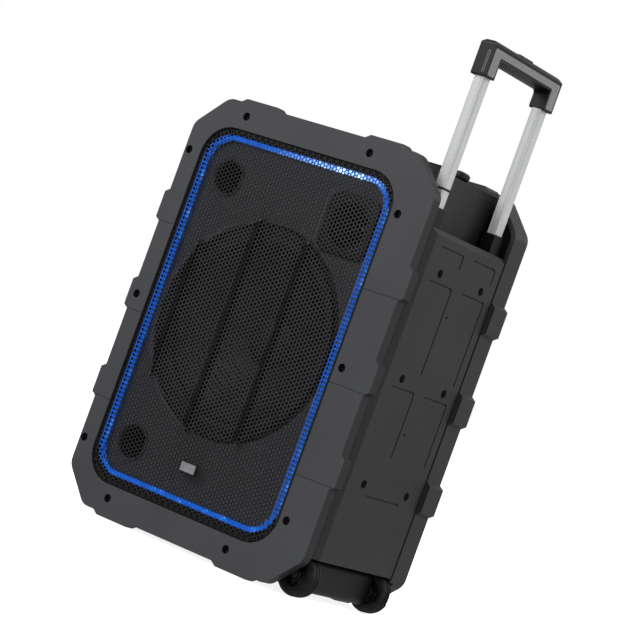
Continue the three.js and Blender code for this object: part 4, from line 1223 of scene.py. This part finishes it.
class SPEAKER_OT_trolley(bpy.types.Operator):
    """Builds the grooved tubes, the grip with its soft inset, the release key and the tube band"""

    bl_idname = "speaker.trolley"
    bl_label = "Trolley handle"

    def execute(self, context):
        bead = context.scene.speaker_sizes.tube_bead
        for place in ("front", "rear"):
            self.tube(place, bead)
        band = softened(copied("trolley_tube_band", "tube_band"), 0.25 * MM)
        finished(band, "handle", LOOKS["black_plastic"], "black_plastic", "trolley_tube_band")
        self.grip()
        key = softened(copied("release_button", "release_key_cap"), 1.6 * MM, 4)
        finished(key, "release_key", LOOKS["black_gloss"], "black_plastic", "release_button")
        return {"FINISHED"}

    def tube(self, place, bead):
        """A hollow tube with flat faces and a bead along each corner, set off by fine grooves."""
        node = f"trolley_tube_{place}"
        low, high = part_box(node)
        middle = (low + high) / 2
        half_x = (high.x - low.x) / 2
        half_y = (high.y - low.y) / 2
        depth = 0.5 * MM
        far = 2.3 * bead
        near = 1.8 * bead
        round_corner = [(half_x - bead + bead * math.cos(a), half_y - bead + bead * math.sin(a))
                        for a in (math.radians(-35 + 20 * i) for i in range(9))]
        corner = [(half_x, half_y - far), (half_x - depth, half_y - far + 0.15 * MM),
                  (half_x - depth, half_y - near)]
        corner += round_corner
        corner += [(half_x - near, half_y - depth), (half_x - far + 0.15 * MM, half_y - depth),
                   (half_x - far, half_y)]
        half_turn = corner + [(-x, y) for x, y in reversed(corner)]
        outline = half_turn + [(-x, -y) for x, y in half_turn]
        points = [(middle.x + x, middle.y + y, low.z) for x, y in outline]
        tube = prism(f"grooved_tube_{place}", points, (0, 0, high.z - low.z))
        wall = 1.6 * MM
        bore = block("bore", (low.x + wall, low.y + wall, low.z - MM),
                     (high.x - wall, high.y - wall, high.z + MM))
        carved(tube, [bore])
        finished(smoothed(tube, 28), "handle", LOOKS["tube_aluminium"], "tube_aluminium", node)

    def grip(self):
        low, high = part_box("trolley_grip")
        middle = (low.y + high.y) / 2
        drop = 4 * MM
        under = high.z - 20.4 * MM
        side_under = under + 3.4 * MM
        body = prism("grip_body", self.outline(low, high, 0, low.x, high.z, under), (high.x - low.x, 0, 0))
        slope = [(high.x - 9 * MM, under - MM), (high.x - 9 * MM, under), (high.x, side_under),
                 (high.x + MM, side_under), (high.x + MM, under - MM)]
        leg = 18 * MM
        wedge = prism("wedge", [(x, low.y + leg, z) for x, z in slope], (0, high.y - low.y - 2 * leg, 0))
        carved(body, [self.shoulder(low, high, drop, side) for side in (-1, 1)] + [wedge])
        softened(body, 1.5 * MM, 4, 50)
        pad_top = high.z - drop - 0.8 * MM
        inside = self.outline(low, high, 2 * MM, high.x - 1.4 * MM, pad_top, side_under)
        recess = prism("recess", inside, (5 * MM, 0, 0))
        slot_low, slot_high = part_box("release_button")
        slack = Vector((0.5, 0.5, 2.4)) * MM            # the key sinks 2 mm into the grip
        slot = block("slot", slot_low - slack, slot_high + slack)
        sockets = []
        for place in ("front", "rear"):
            tube_low, tube_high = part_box(f"trolley_tube_{place}")
            room = Vector((0.3, 0.3, 0.3)) * MM
            sockets.append(block("socket", (tube_low.x - room.x, tube_low.y - room.y, low.z - MM),
                                 tube_high + room))
        carved(body, [recess, slot] + sockets)
        finished(smoothed(body, 35), "handle", LOOKS["black_plastic"], "black_plastic", "trolley_grip")
        inside = self.outline(low, high, 2.3 * MM, high.x - 1.1 * MM, pad_top, side_under)
        pad = prism("grip_pad", inside, (1.5 * MM, 0, 0))
        softened(pad, 0.6 * MM, 3, 50)
        finished(pad, "handle", LOOKS["grey_inset"], "grey_inset", "grip_inset")
        for side in (-1, 1):
            self.parting_bead(low, high, middle, side)

    def shoulder(self, low, high, drop, side):
        """Wedge that slopes the grip's top down to one side."""
        middle = (low.x + high.x) / 2
        ridge = middle + side * 4.5 * MM
        edge = middle + side * (high.x - middle)
        over = side * MM
        points = [(ridge, high.z), (edge, high.z - drop), (edge + over, high.z + MM), (ridge, high.z + MM)]
        return prism("shoulder", [(x, low.y - MM, z) for x, z in points], (0, high.y - low.y + 2 * MM, 0))

    def outline(self, low, high, margin, x, top_edge, under_edge):
        """The grip's upside-down U in Y and Z between two heights of its bar, moved inwards by a margin."""
        leg = 18 * MM
        tight = max(5 * MM - margin, 2 * MM)
        bottom = low.z + margin
        top = top_edge - margin
        left = low.y + margin
        right = high.y - margin
        under = under_edge + margin
        corners = [
            (left, bottom, 2 * MM), (low.y + leg - margin, bottom, 2 * MM),
            (low.y + leg - margin, under, -tight),
            (high.y - leg + margin, under, -tight), (high.y - leg + margin, bottom, 2 * MM),
            (right, bottom, 2 * MM), (right, top, tight), (left, top, tight),
        ]
        points = []
        count = len(corners)
        for i, (y, z, radius) in enumerate(corners):
            corner = Vector((y, z))
            before = Vector(corners[i - 1][:2]) - corner
            after = Vector(corners[(i + 1) % count][:2]) - corner
            start = corner + before.normalized() * abs(radius)
            end = corner + after.normalized() * abs(radius)
            steps = 5
            for k in range(steps + 1):
                t = k / steps
                point = start * (1 - t) ** 2 + corner * 2 * t * (1 - t) + end * t ** 2
                points.append((x, point.x, point.y))
        return points

    def parting_bead(self, low, high, middle, side):
        """Two fine raised lines down the front and back faces of the grip's legs."""
        face = middle + side * (high.y - low.y) / 2
        beads = []
        for inset in (4.4 * MM, 6.6 * MM):
            x = high.x - inset
            beads.append(block("bead", (x - 0.35 * MM, face - 0.3 * MM, low.z + 4 * MM),
                               (x + 0.35 * MM, face + 0.3 * MM, high.z - 11 * MM)))
        bead = joined(beads, "grip_bead_front" if side < 0 else "grip_bead_rear")
        finished(softened(bead, 0.2 * MM, 2, 50), "handle", LOOKS["grey_inset"], "grey_inset")


class SPEAKER_OT_carry_handle(bpy.types.Operator):
    """Builds the ribbed carry handle on top"""

    bl_idname = "speaker.carry_handle"
    bl_label = "Carry handle"

    def execute(self, context):
        pitch = context.scene.speaker_sizes.handle_rib
        low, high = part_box("carry_handle")
        middle = (low + high) / 2
        half_y = (high.y - low.y) / 2
        half_z = (high.z - low.z) / 2
        section = rounded_rectangle((-half_y, -half_z), (half_y, half_z), 3.6 * MM, 5)
        tip = 0.45
        points = [(low.x, middle.y + tip * y, middle.z + tip * z) for y, z in section]
        bar = drawn("ribbed_carry_handle", points)
        bpy.ops.mesh.select_all(action="SELECT")
        bpy.ops.mesh.edge_face_add()
        self.centre = middle
        length_left = high.x - low.x
        cap = 7 * MM
        steps = 4
        scale = tip
        for i in range(1, steps + 1):
            angle = math.pi / 2 * i / steps
            size = tip + (1 - tip) * math.sin(angle)
            self.advance(cap / steps, size / scale)
            scale = size
        ribs = int((length_left - 2 * cap) / pitch)
        rest = (length_left - 2 * cap - ribs * pitch) / 2
        self.advance(rest, 1)
        sunk = 0.78
        flank = 0.25 * MM
        for _ in range(ribs):
            self.advance(flank, sunk)
            self.advance(0.35 * pitch, 1)
            self.advance(flank, 1 / sunk)
            self.advance(0.65 * pitch - 2 * flank, 1)
        self.advance(rest, 1)
        for i in range(steps):
            angle = math.pi / 2 * (i + 1) / steps
            size = tip + (1 - tip) * math.cos(angle)
            self.advance(cap / steps, size / scale)
            scale = size
        mended(bar)
        finished(smoothed(bar, 40), "cabinet", LOOKS["handle_rubber"], "soft_rubber", "carry_handle")
        return {"FINISHED"}

    def advance(self, distance, factor):
        """Extrudes the end face along X and scales it about the bar's own line."""
        push((distance, 0, 0))
        if factor != 1:
            bpy.ops.transform.resize(value=(1, factor, factor), center_override=self.centre)


class SPEAKER_OT_wheels(bpy.types.Operator):
    """Builds the treaded tyres and the dished hubs"""

    bl_idname = "speaker.wheels"
    bl_label = "Wheels"

    def execute(self, context):
        for place in ("front", "rear"):
            self.tyre(place)
            self.hub(place)
        return {"FINISHED"}

    def tyre(self, place):
        node = f"wheel_tyre_{place}"
        low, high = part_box(node)
        centre = centre_of(node)
        outer = (high.z - low.z) / 2
        half = (high.y - low.y) / 2
        inner = 15.3 * MM
        side = [(inner, half - 0.6 * MM), (outer - 6 * MM, half - 0.5 * MM), (outer - 5.4 * MM, half),
                (outer - 3.4 * MM, half - 0.3 * MM), (outer - 1.5 * MM, half - 1.4 * MM),
                (outer - 0.4 * MM, half - 3 * MM), (outer, half - 4.6 * MM), (outer, 3 * MM),
                (outer - 1.3 * MM, 2.7 * MM), (outer - 1.3 * MM, 1.5 * MM), (outer, 1.2 * MM)]
        profile = [(radius, centre.y + y) for radius, y in side]
        profile += [(radius, centre.y - y) for radius, y in reversed(side)]
        tyre = turned(f"treaded_tyre_{place}", profile, centre, 72)
        sector = 2 * math.pi / 72

        def lug_gap(c, n):
            out = Vector((c.x - centre.x, 0, c.z - centre.z))
            number = int(math.atan2(out.z, out.x) / sector + 72.5)
            across = abs(c.y - centre.y)
            return (out.length > outer - 1.1 * MM and across > 2 * MM
                    and number % 4 == (0 if c.y > centre.y else 2))

        edit_faces(tyre, lug_gap)
        bpy.ops.mesh.inset(thickness=0.25 * MM, depth=-0.9 * MM)
        leave_all()
        finished(smoothed(tyre, 32), f"wheel_{place}", LOOKS["tyre_rubber"], "tyre_rubber", node)

    def hub(self, place):
        node = f"wheel_hub_{place}"
        low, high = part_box(node)
        centre = centre_of(node)
        outer = (high.z - low.z) / 2
        half = (high.y - low.y) / 2
        bore = 4.1 * MM
        side = [(bore, half), (bore + 2.4 * MM, half), (bore + 3 * MM, half - 0.6 * MM),
                (bore + 3.2 * MM, half - 3.4 * MM), (outer - 3 * MM, half - 3.8 * MM),
                (outer - 2 * MM, half - 0.5 * MM), (outer - 1.5 * MM, half), (outer, half)]
        profile = [(radius, centre.y + y) for radius, y in side]
        profile += [(radius, centre.y - y) for radius, y in reversed(side)]
        hub = turned(f"dished_hub_{place}", profile, centre, 60)
        holes = []
        spokes = 5
        for i in range(spokes):
            angle = 2 * math.pi * i / spokes
            x = centre.x + 9.6 * MM * math.cos(angle)
            z = centre.z + 9.6 * MM * math.sin(angle)
            holes.append(rod("hole", (x, centre.y - half, z), (x, centre.y + half, z), 1.9 * MM, 20))
        carved(hub, holes)
        finished(smoothed(hub, 35), f"wheel_{place}", LOOKS["black_plastic"], "black_plastic", node)


class SPEAKER_OT_controls(bpy.types.Operator):
    """Builds the fluted knobs, the keys with their signs, the display, the switch and the sockets"""

    bl_idname = "speaker.controls"
    bl_label = "Rear controls"

    def execute(self, context):
        flutes = context.scene.speaker_sizes.knob_flutes
        self.knob("volume_knob", "volume", flutes)
        self.knob("microphone_knob", "microphone", flutes)
        for sign in ("mode", "previous", "play", "next"):
            self.key(sign)
        self.display()
        rocker = softened(copied("power_switch", "rocker"), 0.5 * MM, 3)
        finished(rocker, "switch", LOOKS["black_plastic"], "black_plastic", "power_switch")
        flap = softened(copied("socket_flap", "rubber_flap"), 0.6 * MM, 3)
        finished(flap, "flap", LOOKS["soft_rubber"], "soft_rubber", "socket_flap")
        self.sockets()
        return {"FINISHED"}

    def knob(self, node, body, flutes):
        low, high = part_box(node)
        centre = centre_of(node)
        radius = (high.x - low.x) / 2
        shaft = 3 * MM
        base = high.y - 10.2 * MM
        profile = [
            (0, low.y), (shaft, low.y), (shaft, base), (radius, base), (radius, base + 1.6 * MM),
            (radius - 1 * MM, base + 2.4 * MM), (radius - 1.5 * MM, high.y - 1.4 * MM),
            (radius - 2.6 * MM, high.y), (radius - 4 * MM, high.y - 0.5 * MM), (0, high.y - 0.7 * MM),
        ]
        knob = turned(f"fluted_{node}", profile, centre, 2 * flutes, False)
        step = math.pi / flutes

        def flute(c, n):
            number = int(math.atan2(c.z - centre.z, c.x - centre.x) / step + 4 * flutes)
            return abs(n.y) < 0.3 and base + 3 * MM < c.y < high.y - 2 * MM and number % 2 == 0

        edit_faces(knob, flute)
        bpy.ops.mesh.inset(thickness=0.12 * MM, depth=-0.5 * MM, use_individual=True)
        leave_all()
        finished(smoothed(knob, 30), body, LOOKS["black_plastic"], "black_plastic", node)
        line = block(f"{body}_pointer", (centre.x - 0.6 * MM, high.y - 0.75 * MM, centre.z + 2.5 * MM),
                     (centre.x + 0.6 * MM, high.y - 0.35 * MM, centre.z + radius - 4.2 * MM))
        finished(softened(line, 0.12 * MM), body, LOOKS["grey_inset"], "grey_inset")

    def key(self, sign):
        node = f"button_{sign}"
        cap = softened(copied(node, f"key_{sign}_cap"), 0.7 * MM, 3)
        body = f"key_{sign}"
        finished(cap, body, LOOKS["black_plastic"], "black_plastic", node)
        low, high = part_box(node)
        centre = (low + high) / 2
        face = high.y - 0.05 * MM
        lift = (0, 0.25 * MM, 0)
        size = 1.9 * MM

        def arrow(x, way):
            points = [(x + way * size, face, centre.z), (x - way * size, face, centre.z - size),
                      (x - way * size, face, centre.z + size)]
            return prism("arrow", points, lift)

        def bar(x):
            return block("bar", (x - 0.4 * MM, face, centre.z - size),
                         (x + 0.4 * MM, high.y + 0.2 * MM, centre.z + size))

        # seen from the back, so right and left change places
        signs = {
            "mode": lambda: [bar(centre.x - 1.4 * MM), bar(centre.x), bar(centre.x + 1.4 * MM)],
            "previous": lambda: [arrow(centre.x + 0.6 * MM, 1), bar(centre.x + 3 * MM)],
            "play": lambda: [arrow(centre.x, -1)],
            "next": lambda: [arrow(centre.x - 0.6 * MM, -1), bar(centre.x - 3 * MM)],
        }
        mark = joined(signs[sign](), f"key_{sign}_sign")
        finished(mark, body, LOOKS["grey_inset"], "grey_inset")

    def display(self):
        window = softened(copied("display_window", "display_glass"), 0.4 * MM, 3)
        finished(window, "cabinet", LOOKS["display_lens"], "display_lens", "display_window")
        low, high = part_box("display_window")
        bars = []
        count = 12
        for i in range(count):
            x = high.x - 10 * MM - 5 * MM * i
            height = (4 + 5 * abs(math.sin(1.3 * i))) * MM
            bars.append(block("level", (x - 1.5 * MM, high.y - 0.02 * MM, low.z + 8 * MM),
                              (x + 1.5 * MM, high.y + 0.06 * MM, low.z + 8 * MM + height)))
        finished(joined(bars, "display_levels"), "cabinet", LOOKS["lit_marks"], "light_guide")

    def sockets(self):
        """The sockets behind the flap: a flat one with a tongue, a card slot and a round one."""
        low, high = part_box("socket_flap")
        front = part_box("control_panel")[1].y
        middle = (low + high) / 2
        shell = block("data_socket", (middle.x - 33.5 * MM, front - 11 * MM, middle.z - 4.5 * MM),
                      (middle.x - 14.5 * MM, front - 0.3 * MM, middle.z + 4.5 * MM))
        edit_faces(shell, lambda c, n: n.y > 0.9)
        bpy.ops.mesh.inset(thickness=1.1 * MM)
        push((0, -8 * MM, 0))
        leave_all()
        tongue = block("tongue", (middle.x - 31 * MM, front - 9 * MM, middle.z - 0.2 * MM),
                       (middle.x - 17 * MM, front - 2 * MM, middle.z + 1.8 * MM))
        finished(softened(joined([shell, tongue], "data_socket"), 0.2 * MM), "cabinet",
                 LOOKS["plain_steel"], "plain_steel")
        slot = block("card_slot", (middle.x - 5.6 * MM, front - 9 * MM, middle.z - 3.6 * MM),
                     (middle.x + 5.6 * MM, front - 0.3 * MM, middle.z + 3.6 * MM))
        edit_faces(slot, lambda c, n: n.y > 0.9)
        bpy.ops.mesh.inset(thickness=1.4 * MM)
        push((0, -6 * MM, 0))
        leave_all()
        finished(softened(slot, 0.2 * MM), "cabinet", LOOKS["black_plastic"], "black_plastic")
        centre = Vector((middle.x + 24 * MM, 0, middle.z))
        profile = [(1.8 * MM, front - 9 * MM), (1.8 * MM, front - 0.9 * MM), (2.4 * MM, front - 0.3 * MM),
                   (4.6 * MM, front - 0.3 * MM), (5.6 * MM, front - 0.9 * MM), (5.6 * MM, front - 9 * MM)]
        jack = smoothed(turned("audio_socket", profile, centre, 36), 35)
        finished(jack, "cabinet", LOOKS["black_plastic"], "black_plastic")


class SPEAKER_OT_stage(bpy.types.Operator):
    """Builds the pale floor, the soft lights and the camera"""

    bl_idname = "speaker.stage"
    bl_label = "Stage"

    def execute(self, context):
        stage = context.scene.speaker_stage
        low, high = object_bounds()
        self.middle = (low + high) / 2
        leave_all()
        bpy.ops.mesh.primitive_plane_add(size=2 * stage.floor_half, location=(0, 0, -0.2 * MM))
        floor = named("studio_floor")
        floor.data.materials.append(floor_paint("floor_paint"))
        floor.visible_diffuse = False
        floor.visible_glossy = False
        floor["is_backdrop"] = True
        self.soft_light("key_light", (-1.1, -2.6, 1.9), 1.9, stage.key_power)
        self.soft_light("side_light", (2.9, -0.9, 0.9), 1.6, stage.side_power)
        self.soft_light("top_light", (0.3, 0.4, 2.6), 1.4, stage.top_power)
        self.soft_light("rear_light", (2.4, 2.2, 2.2), 1.6, stage.rear_power)
        self.room(context.scene, stage.ambient)
        self.camera(context.scene, stage)
        return {"FINISHED"}

    def soft_light(self, name, place, size, power):
        leave_all()
        bpy.ops.object.light_add(type="AREA", location=place)
        lamp = named(name)
        lamp.data.shape = "DISK"
        lamp.data.size = size
        lamp.data.energy = power
        lamp.visible_camera = False
        lamp.rotation_euler = (self.middle - Vector(place)).to_track_quat("-Z", "Y").to_euler()

    def room(self, scene, strength):
        """An even pale room that looks white behind the speaker."""
        world = bpy.data.worlds.new("room")
        world.use_nodes = True
        tree = world.node_tree
        even = tree.nodes["Background"]
        even.inputs["Color"].default_value = (1.0, 1.0, 1.0, 1.0)
        even.inputs["Strength"].default_value = strength
        white = tree.nodes.new("ShaderNodeBackground")
        white.inputs["Color"].default_value = (1.0, 1.0, 1.0, 1.0)
        path = tree.nodes.new("ShaderNodeLightPath")
        mix = tree.nodes.new("ShaderNodeMixShader")
        tree.links.new(path.outputs["Is Camera Ray"], mix.inputs["Fac"])
        tree.links.new(even.outputs["Background"], mix.inputs[1])
        tree.links.new(white.outputs["Background"], mix.inputs[2])
        tree.links.new(mix.outputs["Shader"], tree.nodes["World Output"].inputs["Surface"])
        scene.world = world
        scene.view_settings.view_transform = "Standard"

    def camera(self, scene, stage):
        leave_all()
        bpy.ops.object.camera_add(location=stage.place)
        camera = named("camera")
        camera.data.lens = stage.lens
        camera.data.sensor_width = 36.0
        camera.data.clip_end = 100.0
        aim = Matrix.Rotation(stage.heading, 4, "Z") @ Matrix.Rotation(math.pi / 2 + stage.rise, 4, "X")
        turn = aim @ Matrix.Rotation(stage.roll, 4, "Z")
        camera.matrix_world = Matrix.Translation(stage.place) @ turn
        scene.camera = camera


OPERATORS = (
    SPEAKER_OT_finishes,
    SPEAKER_OT_frames,
    SPEAKER_OT_grille,
    SPEAKER_OT_badge,
    SPEAKER_OT_ring_light,
    SPEAKER_OT_baffle,
    SPEAKER_OT_woofer,
    SPEAKER_OT_tweeter,
    SPEAKER_OT_cabinet,
    SPEAKER_OT_screws,
    SPEAKER_OT_trolley,
    SPEAKER_OT_carry_handle,
    SPEAKER_OT_wheels,
    SPEAKER_OT_controls,
    SPEAKER_OT_stage,
)


class SPEAKER_PT_pieces(bpy.types.Panel):
    """Lists the speaker's sizes, colours and pieces"""

    bl_idname = "SPEAKER_PT_pieces"
    bl_label = "Party speaker"
    bl_space_type = "VIEW_3D"
    bl_region_type = "UI"
    bl_category = "Speaker"

    def draw(self, context):
        scene = context.scene
        for settings in (scene.speaker_sizes, scene.speaker_colours, scene.speaker_stage):
            for name in settings.bl_rna.properties.keys():
                if name not in ("rna_type", "name"):
                    self.layout.prop(settings, name)
        for operator in OPERATORS:
            self.layout.operator(operator.bl_idname)


CLASSES = (SpeakerSizes, SpeakerColours, SpeakerStage) + OPERATORS + (SPEAKER_PT_pieces,)


def register():
    for cls in CLASSES:
        bpy.utils.register_class(cls)
    bpy.types.Scene.speaker_sizes = bpy.props.PointerProperty(type=SpeakerSizes)
    bpy.types.Scene.speaker_colours = bpy.props.PointerProperty(type=SpeakerColours)
    bpy.types.Scene.speaker_stage = bpy.props.PointerProperty(type=SpeakerStage)


def unregister():
    del bpy.types.Scene.speaker_stage
    del bpy.types.Scene.speaker_colours
    del bpy.types.Scene.speaker_sizes
    for cls in reversed(CLASSES):
        bpy.utils.unregister_class(cls)


def main():
    register()
    bpy.ops.speaker.finishes()
    bpy.ops.speaker.frames()
    bpy.ops.speaker.grille()
    bpy.ops.speaker.badge()
    bpy.ops.speaker.ring_light()
    bpy.ops.speaker.baffle()
    bpy.ops.speaker.woofer()
    bpy.ops.speaker.tweeter()
    bpy.ops.speaker.cabinet()
    bpy.ops.speaker.screws()
    bpy.ops.speaker.trolley()
    bpy.ops.speaker.carry_handle()
    bpy.ops.speaker.wheels()
    bpy.ops.speaker.controls()
    bpy.ops.speaker.stage()


if __name__ == "__main__":
    main()
